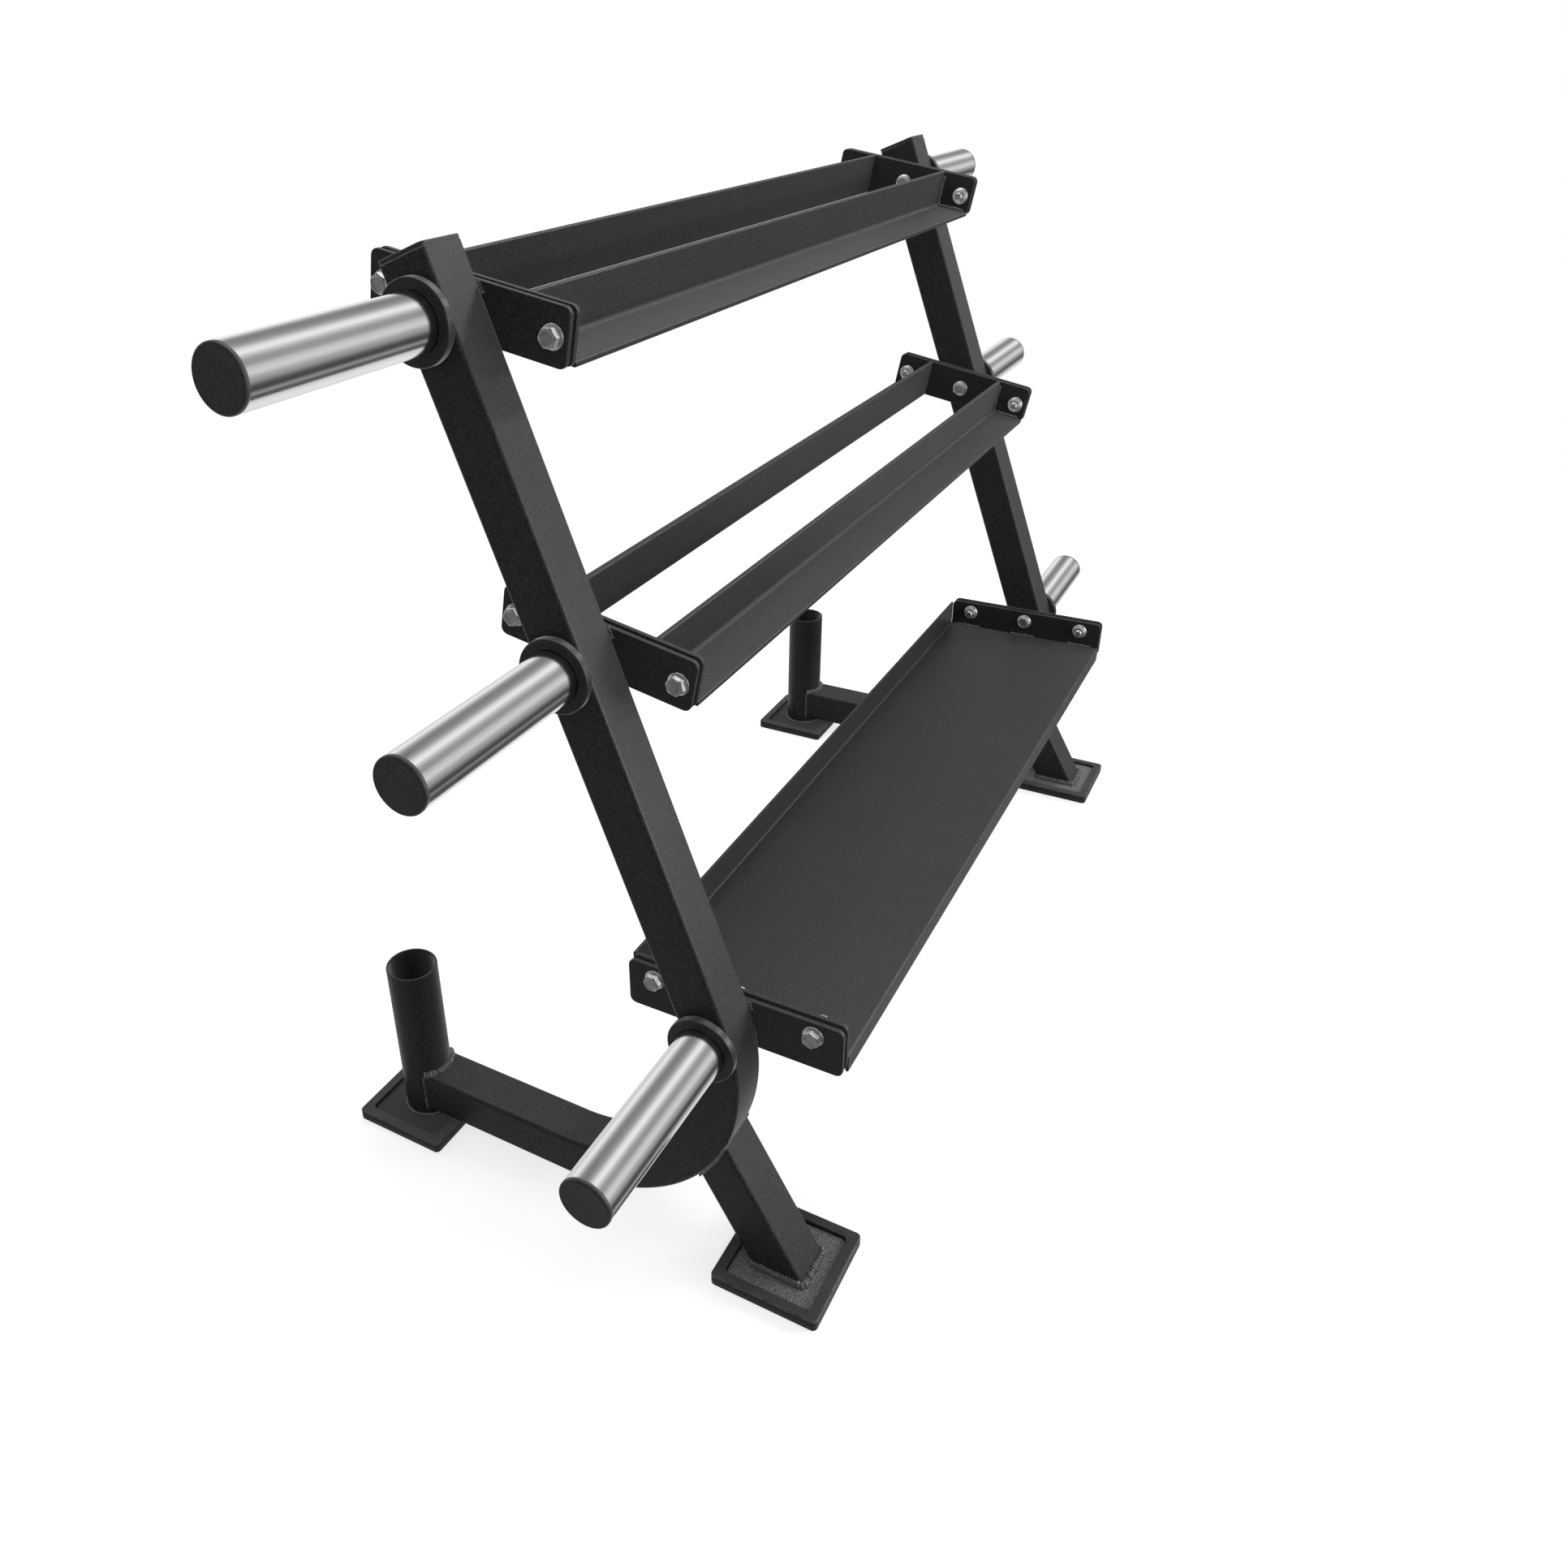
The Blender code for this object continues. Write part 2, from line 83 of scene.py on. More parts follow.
def place_camera():
    data = bpy.data.cameras.new("camera")
    data.lens, data.sensor_width = LENS_MM, SENSOR_MM
    data.shift_x, data.shift_y = LENS_SHIFT
    data.clip_start, data.clip_end = 0.05, 60.0
    camera = bpy.data.objects.new("camera", data)
    bpy.context.scene.collection.objects.link(camera)
    right = LOOK.cross(SKYWARD).normalized()
    turn = Matrix((right, right.cross(LOOK), -LOOK)).transposed()
    camera.matrix_world = Matrix.Translation(EYE) @ turn.to_4x4()
    bpy.context.scene.camera = camera
    return camera


camera = place_camera()
print("camera at", tuple(round(v, 3) for v in camera.location))

# %% [markdown]
# ## A small language for finishes
# A finish is a graph of shader nodes. Wiring each node by hand hides the idea, so one small
# class lets sums and products of sockets be written as ordinary Python, and one method adds
# any other node: its type, then its settings, such as the stops of a colour ramp, then the
# values or links of its sockets.


# %% Wires and paints
class Wire:
    """One output socket of a shader graph. Arithmetic on it adds Math nodes."""

    def __init__(self, paint, socket):
        self.paint, self.socket = paint, socket

    def math(self, operation, *values):
        return self.paint.node("ShaderNodeMath", {"operation": operation},
                               dict(enumerate(values)))

    def __add__(self, other):
        return self.math("ADD", self, other)

    def __radd__(self, other):
        return self.math("ADD", other, self)

    def __sub__(self, other):
        return self.math("SUBTRACT", self, other)

    def __rsub__(self, other):
        return self.math("SUBTRACT", other, self)

    def __mul__(self, other):
        return self.math("MULTIPLY", self, other)

    def __rmul__(self, other):
        return self.math("MULTIPLY", other, self)

    def __neg__(self):
        return self.math("MULTIPLY", self, -1.0)

    def ramp(self, low, high):
        """0 below low, 1 above high and a smooth rise between them."""
        return self.paint.node("ShaderNodeMapRange", {"interpolation_type": "SMOOTHSTEP"},
                               {"Value": self, "From Min": low, "From Max": high})


def grey(value, warmth=0.0):
    return (value * (1 + warmth), value, value * (1 - warmth), 1.0)


def set_stops(ramp, stops):
    """Give a colour ramp its stops of (position, colour), with soft steps between them."""
    ramp.interpolation = "EASE"
    while len(ramp.elements) < len(stops):
        ramp.elements.new(0.5)
    for element, (position, colour) in zip(ramp.elements, stops):
        element.position = position
        element.color = colour


class Paint:
    """A material, with the wires of its surface pattern."""

    def __init__(self, name, **constants):
        self.material = bpy.data.materials.new(name)
        self.material.use_nodes = True
        self.tree = self.material.node_tree
        self.shader = self.tree.nodes["Principled BSDF"]
        for socket, value in constants.items():
            self.shader.inputs[socket.replace("_", " ")].default_value = value
        self.place = self.node("ShaderNodeTexCoord", {}, {}, "Object")

    def node(self, kind, settings, sockets, output=0):
        made = self.tree.nodes.new(kind)
        for key, value in settings.items():
            if key == "stops":
                set_stops(made.color_ramp, value)
            else:
                setattr(made, key, value)
        for key, value in sockets.items():
            if isinstance(value, Wire):
                self.tree.links.new(value.socket, made.inputs[key])
            else:
                made.inputs[key].default_value = value
        return Wire(self, made.outputs[output])

    def noise(self, scale, detail, rough=0.5, stretch=(1.0, 1.0, 1.0)):
        where = self.node("ShaderNodeMapping", {}, {"Vector": self.place, "Scale": stretch})
        return self.node("ShaderNodeTexNoise", {}, {"Vector": where, "Scale": scale,
                                                    "Detail": detail, "Roughness": rough})

    def blend(self, share, first, second):
        """A colour part of the way from the first to the second."""
        return self.node("ShaderNodeMix", {"data_type": "RGBA"},
                         {"Factor": share, 6: first, 7: second}, 2)

    # The mask for the highlight that finishes paint on rounded edges.
    def edge_highlight(self):
        """1 on the rounded edges of a piece and 0 on its faces."""
        return self.node("ShaderNodeAttribute", {"attribute_name": "edge"}, {}, "Fac")

    def feed(self, socket, wire):
        self.tree.links.new(wire.socket, self.shader.inputs[socket])

    def bump(self, height, depth):
        """Raise the surface by up to depth metres where height is 1."""
        self.feed("Normal", self.node("ShaderNodeBump", {}, {"Height": height,
                                                              "Distance": depth}))


print("finishes can be written as sums of wires")

# %% [markdown]
# ## Powder coat
# The steel is sprayed with dry black powder that melts into a skin in an oven. Close up it
# is never a flat black: the skin has a fine grain, an even finer sparkle and a slow ripple
# like orange peel, and it is smoother along its edges. Noises of five sizes draw these. The
# edges, which the edge attribute marks, are also painted a lighter grey in patches: a painted
# highlight. The front foot plates get a paler copy of the coat, painted light, while the rear
# ones keep the plain coat, and the weld beads get a lighter copy of it as a painted highlight.


# %% Powder coat
def powder_coat(name, shade, gloss, ripple):
    paint = Paint(name, Metallic=0.0, Specular_IOR_Level=0.36, IOR=1.5)
    grain = paint.noise(640.0, 3.0, 0.8)
    peel = paint.noise(420.0, 3.0, 0.55)
    cloud = paint.noise(9.0, 4.0, 0.6)
    highlight_patches = paint.noise(70.0, 3.0, 0.6)
    speck = paint.noise(900.0, 1.0, 0.6).ramp(0.60, 0.70)
    # Paler patches on the rounded edges are a painted highlight.
    edge = paint.edge_highlight() * highlight_patches.ramp(0.30, 0.62)
    light = 0.80 * grain.ramp(0.38, 0.62) + 0.15 * cloud + 0.05 * peel
    skin = paint.blend(light, grey(shade * 0.15), grey(shade * 1.80))
    skin = paint.blend(edge * 0.30, skin, grey(shade * 3.0))
    paint.feed("Base Color", paint.blend(speck * 0.45, skin, grey(shade * 4.2)))
    paint.feed("Roughness", gloss + 0.10 * (cloud - 0.5) + 0.16 * (grain - 0.5) - 0.06 * edge)
    paint.bump(0.65 * peel + 0.35 * grain, ripple)
    return paint.material


coat = powder_coat("powder_coat", shade=0.0205, gloss=0.45, ripple=0.00012)
# The front plates' paler coat is painted light: a lit copy of the coat the rear plates wear.
scuffed_coat = powder_coat("scuffed_coat", shade=0.130, gloss=0.42, ripple=0.00014)
# The welds' lighter copy of the powder coat is a painted highlight.
highlit_weld_coat = powder_coat("coated_weld", shade=0.085, gloss=0.28, ripple=0.00022)
# The feet's coat printed here is that lit copy, painted light.
print("powder coat, the feet's scuffed coat and coated welds ready")

# %% [markdown]
# ## Chrome
# The pegs are plated tube, polished lengthwise before plating. The mirror is slightly soft,
# with hairlines along the tube that stretch each reflection, a breath of haze and a few
# rings where plates have slid. Noise squeezed across the tube draws the hairlines.


# %% Chrome
def chrome_plate():
    paint = Paint("chrome_plate", Metallic=1.0)
    hairline = paint.noise(6.0, 3.0, 0.6, stretch=(1.0, 130.0, 130.0))
    haze = paint.noise(22.0, 4.0, 0.6)
    ring = paint.noise(5.0, 4.0, 0.7, stretch=(60.0, 3.0, 3.0)).ramp(0.60, 0.74)
    tone = 0.6 * haze + 0.4 * hairline
    paint.feed("Base Color", paint.blend(tone, grey(0.70), grey(0.86)))
    paint.feed("Roughness", 0.13 + 0.04 * haze + 0.05 * hairline + 0.04 * ring)
    return paint.material


chrome = chrome_plate()
print("chrome ready")

# %% [markdown]
# ## Zinc
# Bolts and nuts are zinc plated in a tumbling barrel, so they are bright but dull-edged and
# mottled, with greyer patches where the plating has aged.


# %% Zinc
def zinc_plate():
    paint = Paint("zinc_plate", Metallic=1.0)
    mottle = paint.noise(260.0, 4.0, 0.65)
    grain = paint.noise(1900.0, 2.0, 0.6)
    aged = paint.noise(120.0, 3.0, 0.6).ramp(0.44, 0.66)
    bright = paint.blend(mottle, grey(0.46), grey(0.74))
    paint.feed("Base Color", paint.blend(aged * 0.5, bright, grey(0.30, 0.02)))
    paint.feed("Roughness", 0.46 + 0.08 * aged + 0.10 * (mottle - 0.5))
    paint.bump(0.6 * grain + 0.4 * mottle, 0.00002)
    return paint.material


zinc = zinc_plate()
print("zinc ready")

# %% [markdown]
# ## Moulded plastic and rubber
# The end caps and collars are moulded plastic with a spark-eroded texture, and the feet are
# rubber, which is duller and holds dust. Both need a fine even grain, so one recipe serves,
# with the depth of its grain, its gloss and its dust as the differences.


# %% Plastic and rubber
def moulded(name, shade, gloss, depth, dust, grain_size):
    paint = Paint(name, Metallic=0.0, Specular_IOR_Level=0.40)
    grain = paint.noise(1.0 / grain_size, 3.0, 0.7)
    cloud = paint.noise(26.0, 4.0, 0.6)
    # Paler patches on the rounded edges are a painted highlight.
    edge = paint.edge_highlight() * paint.noise(90.0, 3.0).ramp(0.32, 0.60)
    powdery = cloud.ramp(0.42, 0.75) * dust
    tone = 0.8 * grain.ramp(0.36, 0.64) + 0.2 * cloud
    body = paint.blend(tone, grey(shade * 0.3), grey(shade * 1.8))
    body = paint.blend(edge * 0.6, body, grey(shade * 3.6))
    paint.feed("Base Color", paint.blend(powdery, body, grey(0.16, 0.01)))
    paint.feed("Roughness", gloss + 0.10 * (grain - 0.5) + 0.20 * powdery - 0.08 * edge)
    paint.bump(grain, depth)
    return paint.material


plastic = moulded("black_plastic", shade=0.026, gloss=0.46, depth=0.00020, dust=0.05,
                  grain_size=0.0011)
collar_plastic = moulded("collar_plastic", shade=0.024, gloss=0.36, depth=0.00006, dust=0.04,
                         grain_size=0.0010)
rubber = moulded("black_rubber", shade=0.030, gloss=0.50, depth=0.00022, dust=0.10,
                 grain_size=0.0011)
print("plastic and rubber ready")

# %% [markdown]
# ## From a mesh to a piece
# Every piece ends the same way: doubles merged, normals turned outwards, smooth shading
# that stays crisp at real corners, and the nodes of the engineering model that it stands
# for hidden. Bevel faces are marked as edge, for the painted edge highlight.


# %% Finishing a piece
ROOT = "root"


def start():
    """An empty mesh with room for the edge marks."""
    bm = bmesh.new()
    bm.faces.layers.float.new("edge")
    return bm


def soften(bm, edges, offset, segments=3):
    """Round edges off, and mark the new faces as edge."""
    made = bmesh.ops.bevel(bm, geom=edges, offset=offset, segments=segments, affect="EDGES",
                           profile=0.5, material=-1, offset_type="OFFSET")
    mark = bm.faces.layers.float["edge"]
    for face in made["faces"]:
        face[mark] = 1.0


def to_object(bm, name, material=None):
    loose = [edge for edge in bm.edges if edge.is_wire]
    bmesh.ops.delete(bm, geom=loose, context="EDGES")
    bmesh.ops.remove_doubles(bm, verts=bm.verts, dist=1e-6)
    bmesh.ops.recalc_face_normals(bm, faces=bm.faces)
    mesh = bpy.data.meshes.new(name)
    bm.to_mesh(mesh)
    bm.free()
    if material:
        mesh.materials.append(material)
    obj = bpy.data.objects.new(name, mesh)
    bpy.context.scene.collection.objects.link(obj)
    return obj


def settle(obj, place=Matrix.Identity(4), stands_for=(), crease=32):
    """Put the place into the mesh, shade it, hang it on the root and hide what it stands for."""
    obj.data.transform(place)
    if place.determinant() < 0:
        obj.data.flip_normals()
    obj.data.shade_smooth()
    obj.data.set_sharp_from_angle(angle=math.radians(crease))
    weights = obj.modifiers.new("even_shading", "WEIGHTED_NORMAL")
    weights.keep_sharp = True
    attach(obj, ROOT)
    if stands_for:
        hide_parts(*stands_for)
    return obj


def combine(obj, tool, operation):
    """Cut the tool out of the object, or keep what they share, then drop the tool."""
    step = obj.modifiers.new("combine", "BOOLEAN")
    step.operation, step.solver, step.object = operation, "EXACT", tool
    bpy.context.view_layer.update()
    shaped = obj.evaluated_get(bpy.context.evaluated_depsgraph_get())
    mesh = bpy.data.meshes.new_from_object(shaped)
    obj.modifiers.clear()
    obj.data = mesh
    bpy.data.objects.remove(tool, do_unlink=True)
    return obj


print("pieces ride on", ROOT)

# %% [markdown]
# ## Sizes shared by the frames
# The lean of the uprights, the bend and the tube are stated once. Where a node of the
# engineering model gives a place directly, the place is measured from its box instead.

# %% Shared sizes
TUBE, TUBE_CORNER = 0.050, 0.0045
LEAN, LEG_LEAN = math.radians(20.7), math.radians(30.2)
BEND_RADIUS = 0.210
CAP_THICKNESS, HAIR_GAP = 0.004, 0.0003
SIDES = {"left": -1, "right": 1}
SHELVES = ("top", "middle", "bottom")
SHELF_TILT = {"top": math.radians(11), "middle": math.radians(11), "bottom": 0.0}
PLATE_SPAN = {"top": 0.200, "middle": 0.200, "bottom": 0.230}
PLATE_LOW = {"top": -0.024, "middle": -0.024, "bottom": -0.039}
PLATE_HIGH = {"top": 0.026, "middle": 0.026, "bottom": 0.015}
PLATE_CORNER, STEEL, STEEL_SOFT = 0.007, 0.005, 0.0008
BOLT_SPACING = 0.085
UP = Vector((0, math.sin(LEAN), math.cos(LEAN)))
BACK = Vector((0, math.cos(LEAN), -math.sin(LEAN)))
CORNER = Vector((0, 0.080, 0.981))


def middle_of(node):
    low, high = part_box(node)
    return (Vector(low) + Vector(high)) / 2


def edge_x(node, side, outer):
    """The outermost or innermost x of a node, away from the middle of the rack."""
    low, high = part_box(node)
    return (high if (SIDES[side] > 0) == outer else low)[0]


def tilt(angle):
    return Matrix.Rotation(angle, 4, "X")


def shelf_place(shelf, x=0.0):
    """A shelf's own axes: its bolt line at the origin, tilted with the shelf."""
    centre = middle_of(f"end_plate_{shelf}_left")
    turn = tilt(SHELF_TILT[shelf])
    lift = turn @ Vector((0, 0, (PLATE_LOW[shelf] + PLATE_HIGH[shelf]) / 2))
    return Matrix.Translation((x, centre.y - lift.y, centre.z - lift.z)) @ turn


def mirrored(side):
    """Shelf ends are drawn at the rack's left end and mirrored for the right one."""
    return Matrix.Diagonal((-SIDES[side], 1, 1, 1))


for shelf in SHELVES:
    print(shelf, "bolt line at", tuple(round(v, 4) for v in shelf_place(shelf).translation))

# %% [markdown]
# ## Starting shapes
# Nearly everything here is a rounded rectangle pushed along a path, or an outline turned
# round an axis. Both starting shapes are kept as small helpers.


# %% Rounded rectangles and pushes
def faces_of(result, key="geom"):
    return [item for item in result[key] if isinstance(item, bmesh.types.BMFace)]


def rounded_rectangle(bm, width, depth, corner, steps=5):
    grid = bmesh.ops.create_grid(bm, x_segments=1, y_segments=1, size=0.5)
    bmesh.ops.scale(bm, verts=grid["verts"], vec=(width, depth, 1.0))
    bmesh.ops.bevel(bm, geom=grid["verts"], offset=corner, segments=steps,
                    affect="VERTICES", profile=0.5, material=-1, offset_type="OFFSET")
    return list(bm.faces)


def push(bm, faces, step, keep=False):
    """Extrude the faces by a step and return the moved ones."""
    moved = faces_of(bmesh.ops.extrude_face_region(bm, geom=faces, use_keep_orig=keep))
    corners = list({vert for face in moved for vert in face.verts})
    bmesh.ops.translate(bm, verts=corners, vec=step)
    old = [face for face in faces if face.is_valid and not keep]
    bmesh.ops.delete(bm, geom=old, context="FACES_ONLY")
    return moved


def slab(width, depth, corner, thickness, soft):
    """A flat plate with rounded corners, its upper and lower edges softened."""
    bm = start()
    low = rounded_rectangle(bm, width, depth, corner)
    high = push(bm, low, (0, 0, thickness), keep=True)
    rims = [edge for face in low + high for edge in face.edges]
    soften(bm, rims, soft)
    return bm


def turned(profile, steps=96):
    """Turn a closed outline of (radius, height) pairs round the Z axis."""
    bm = start()
    verts = [bm.verts.new((radius, 0.0, height)) for radius, height in profile]
    edges = [bm.edges.new(pair) for pair in zip(verts, verts[1:])]
    if profile[0][0] > 0.0:
        edges.append(bm.edges.new((verts[-1], verts[0])))
    bmesh.ops.spin(bm, geom=verts + edges, cent=(0, 0, 0), axis=(0, 0, 1),
                   angle=2 * math.pi, steps=steps, use_merge=True)
    return bm


def arc(centre, radius, first, last, steps=5):
    """Points of an outline's rounded corner, angles in degrees."""
    turns = [math.radians(first + (last - first) * i / steps) for i in range(steps + 1)]
    return [(centre[0] + radius * math.cos(a), centre[1] + radius * math.sin(a))
            for a in turns]


print("rounded rectangles, pushes and turned outlines ready")

# %% [markdown]
# ## End frames
# Each end frame is one length of square tube: a straight upright, a wide bend and a base
# rail. A fitter would bend it on a mandrel, and the spin operator is that mandrel here: the
# tube's section is pushed straight, spun round the bend's centre and pushed straight again.
# The rail's end is coped round the bar holder with a Boolean, as a hole saw would.


# %% Bent frame tubes
BASE_MIDDLE, TUBE_STEPS, BEND_STEPS = 0.0465, 6, 60
HOLDER_RADIUS, HOLDER_WALL = 0.0285, 0.0025
COPE_LENGTH = 0.6
frame_x = abs(middle_of("frame_tube_left").x)
holder_y = middle_of("bar_holder_left").y


def bend_centre():
    height = BASE_MIDDLE - TUBE / 2 + BEND_RADIUS
    first = CORNER + BACK * BEND_RADIUS
    drop = (first.z - height) / UP.z
    return first - UP * drop, drop


def round_tool(radius, length, place):
    bm = bmesh.new()
    bmesh.ops.create_cone(bm, cap_ends=True, segments=160, radius1=radius, radius2=radius,
                          depth=length)
    bmesh.ops.transform(bm, verts=bm.verts, matrix=place)
    return to_object(bm, "tool")


def frame_tube(side):
    centre, drop = bend_centre()
    bm = start()
    section = rounded_rectangle(bm, TUBE, TUBE, TUBE_CORNER, TUBE_STEPS)
    stand = Matrix.Translation((0, holder_y, BASE_MIDDLE)) @ tilt(math.pi / 2)
    bmesh.ops.transform(bm, verts=bm.verts, matrix=stand)
    section = push(bm, section, (0, centre.y - holder_y, 0), keep=True)
    swept = bmesh.ops.spin(bm, geom=section, cent=centre, axis=(1, 0, 0),
                           angle=-(math.pi / 2 + LEAN), steps=BEND_STEPS)
    bmesh.ops.delete(bm, geom=[f for f in section if f.is_valid], context="FACES_ONLY")
    push(bm, faces_of(swept, "geom_last"), UP * (drop - CAP_THICKNESS - HAIR_GAP))
    obj = to_object(bm, f"end_frame_{side}", coat)
    cope = round_tool(HOLDER_RADIUS - HOLDER_WALL / 2, COPE_LENGTH,
                      Matrix.Translation((0, holder_y, 0)))
    combine(obj, cope, "DIFFERENCE")
    return settle(obj, Matrix.Translation((SIDES[side] * frame_x, 0, 0)),
                  [f"frame_tube_{side}"], crease=28)


for side in SIDES:
    tube = frame_tube(side)
    print(tube.name, len(tube.data.polygons), "faces")

# %% [markdown]
# ## Front legs
# The front leg is a straight offcut of the same tube, mitred flat on the foot plate and
# coped to the outside of the bend.


# %% Front legs
PLATE_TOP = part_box("foot_plate_front_left")[1][2]
foot_y = abs(middle_of("rubber_foot_front_left").y)
LEG_STOCK = 0.21


def front_leg(side):
    bm = start()
    section = rounded_rectangle(bm, TUBE, TUBE, TUBE_CORNER, TUBE_STEPS)
    for vert in bm.verts:
        vert.co.z = vert.co.y * math.tan(LEG_LEAN)
    push(bm, section, (0, 0, LEG_STOCK), keep=True)
    obj = to_object(bm, f"leg_{side}", coat)
    stand = Matrix.Translation((0, -foot_y, PLATE_TOP)) @ tilt(-LEG_LEAN)
    obj.data.transform(stand)
    centre = bend_centre()[0]
    across = Matrix.Translation(centre) @ Matrix.Rotation(math.pi / 2, 4, "Y")
    combine(obj, round_tool(BEND_RADIUS - HAIR_GAP, 3 * TUBE, across), "DIFFERENCE")
    return settle(obj, Matrix.Translation((SIDES[side] * frame_x, 0, 0)),
                  [f"front_leg_{side}"])


for side in SIDES:
    print(front_leg(side).name, "meets the bend")

# %% [markdown]
# ## Caps on the uprights
# A flat lid with a plug closes each upright. Its soft edge against the tube's mouth leaves the
# thin dark seam that shows a separate piece.


# %% Upright caps
CAP_CORNER, CAP_SOFT = 0.005, 0.0009
PLUG_WIDTH, PLUG_CORNER, PLUG_DEPTH = 0.043, 0.003, 0.010


def upright_cap(side):
    bm = slab(TUBE, TUBE, CAP_CORNER, CAP_THICKNESS, CAP_SOFT)
    plug = rounded_rectangle(bm, PLUG_WIDTH, PLUG_WIDTH, PLUG_CORNER)[-1:]
    push(bm, plug, (0, 0, -PLUG_DEPTH), keep=True)
    obj = to_object(bm, f"lid_{side}", plastic)
    top = CORNER - UP * CAP_THICKNESS + BACK * (TUBE / 2)
    place = Matrix.Translation((SIDES[side] * frame_x, top.y, top.z)) @ tilt(-LEAN)
    return settle(obj, place, [f"upright_cap_{side}"])


for side in SIDES:
    print(upright_cap(side).name, "on its upright")

# %% [markdown]
# ## Bar holders
# A bar stands in a short length of round tube. Its mouth is deburred, so the rim is turned
# with a rounded lip that catches the light.


# %% Bar holders
def bar_holder(side):
    low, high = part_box(f"bar_holder_{side}")
    bore, lip, top = HOLDER_RADIUS - HOLDER_WALL, HOLDER_WALL / 2, high[2]
    rim = arc((HOLDER_RADIUS - lip, top - lip), lip, 0, 180, 8)
    outline = [(HOLDER_RADIUS, low[2]), *rim, (bore, low[2])]
    obj = to_object(turned(outline, 128), f"bar_tube_{side}", coat)
    return settle(obj, Matrix.Translation((SIDES[side] * frame_x, holder_y, 0)),
                  [f"bar_holder_{side}"])


for side in SIDES:
    print(bar_holder(side).name, "stands on its foot plate")

# %% [markdown]
# ## Feet
# Under each corner lies a steel plate in a rubber shoe. The shoe has a raised rim, a groove
# a few millimetres below its top edge and soft corners, so it is sliced level by level and
# the slice at the groove is drawn in. The well is cut with a slightly larger copy of the
# plate.


# %% Rubber shoes and foot plates
FOOT_WIDTH, FOOT_DEPTH, FOOT_HEIGHT = 0.119, 0.116, 0.013
FOOT_CORNER, FOOT_SOFT, FOOT_RIM = 0.0055, 0.0013, 0.011
WELL_FLOOR, WELL_CORNER, WELL_SOFT, WELL_STOCK = 0.005, 0.006, 0.0008, 0.020
GROOVE_LEVEL, GROOVE_HALF, GROOVE_DEPTH = 0.0082, 0.0009, 0.0014
PLATE_WIDTH, PLATE_DEPTH, PLATE_GAUGE = 0.095, 0.092, 0.0042
FOOT_PLATE_CORNER, FOOT_PLATE_SOFT = 0.005, 0.0007


def cut_groove(bm):
    for level in (GROOVE_LEVEL - GROOVE_HALF, GROOVE_LEVEL, GROOVE_LEVEL + GROOVE_HALF):
        bmesh.ops.bisect_plane(bm, geom=bm.verts[:] + bm.edges[:] + bm.faces[:],
                               plane_co=(0, 0, level), plane_no=(0, 0, 1))
    ring = [v for v in bm.verts if abs(v.co.z - GROOVE_LEVEL) < 1e-5]
    draw_in = (1 - 2 * GROOVE_DEPTH / FOOT_WIDTH, 1 - 2 * GROOVE_DEPTH / FOOT_DEPTH, 1.0)
    bmesh.ops.scale(bm, verts=ring, vec=draw_in)


def rubber_shoe(end, side, place):
    bm = slab(FOOT_WIDTH, FOOT_DEPTH, FOOT_CORNER, FOOT_HEIGHT, FOOT_SOFT)
    cut_groove(bm)
    obj = to_object(bm, f"shoe_{end}_{side}", rubber)
    well = slab(FOOT_WIDTH - 2 * FOOT_RIM, FOOT_DEPTH - 2 * FOOT_RIM, WELL_CORNER,
                WELL_STOCK, WELL_SOFT)
    bmesh.ops.translate(well, verts=well.verts, vec=(0, 0, WELL_FLOOR))
    combine(obj, to_object(well, "tool"), "DIFFERENCE")
    return settle(obj, place, [f"rubber_foot_{end}_{side}"])


def foot_plate(end, side, place):
    bm = slab(PLATE_WIDTH, PLATE_DEPTH, FOOT_PLATE_CORNER, PLATE_GAUGE, FOOT_PLATE_SOFT)
    # The front plates take the coat's lit copy, painted light; the rear ones the plain coat.
    obj = to_object(bm, f"plate_{end}_{side}", scuffed_coat if end == "front" else coat)
    lift = Matrix.Translation((0, 0, PLATE_TOP - PLATE_GAUGE))
    return settle(obj, place @ lift, [f"foot_plate_{end}_{side}"])


for side in SIDES:
    for end in ("front", "rear"):
        spot = middle_of(f"rubber_foot_{end}_{side}")
        place = Matrix.Translation((spot.x, spot.y, 0))
        shoe, plate = rubber_shoe(end, side, place), foot_plate(end, side, place)
        print(shoe.name, "holds", plate.name)

# %% [markdown]
# ## Shelf brackets, end plates and spacers
# Each shelf end is two laser-cut plates with rounded corners, a welded bracket and a bolted
# end plate, held a few millimetres apart by spacers, which gives the dark slot between
# them. The plates are drawn flat, softened and stood on edge in the shelf's tilted axes.


# %% Plates and spacers
SPACER_RADIUS, SPACER_LENGTH = 0.010, 0.0048


def standing_plate(shelf):
    low, high = PLATE_LOW[shelf], PLATE_HIGH[shelf]
    bm = slab(high - low, PLATE_SPAN[shelf], PLATE_CORNER, STEEL, STEEL_SOFT)
    stand = Matrix.Translation((0, 0, (low + high) / 2)) @ Matrix.Rotation(-math.pi / 2, 4, "Y")
    bmesh.ops.transform(bm, verts=bm.verts, matrix=stand)
    return bm


def shelf_end(shelf, side):
    """The plates occupy STEEL inwards from the x that each is placed at, on the left."""
    inner = edge_x(f"bracket_{shelf}_left", "left", True)
    outer = edge_x(f"end_plate_{shelf}_left", "left", True)
    for kind, x in (("bracket", inner), ("end_plate", outer)):
        bm = standing_plate(shelf)
        slide = x - min(vert.co.x for vert in bm.verts)
        bmesh.ops.translate(bm, verts=bm.verts, vec=(slide, 0, 0))
        obj = to_object(bm, f"{shelf}_{kind}_{side}", coat)
        settle(obj, mirrored(side) @ shelf_place(shelf), [f"{kind}_{shelf}_{side}"])
    return inner, outer


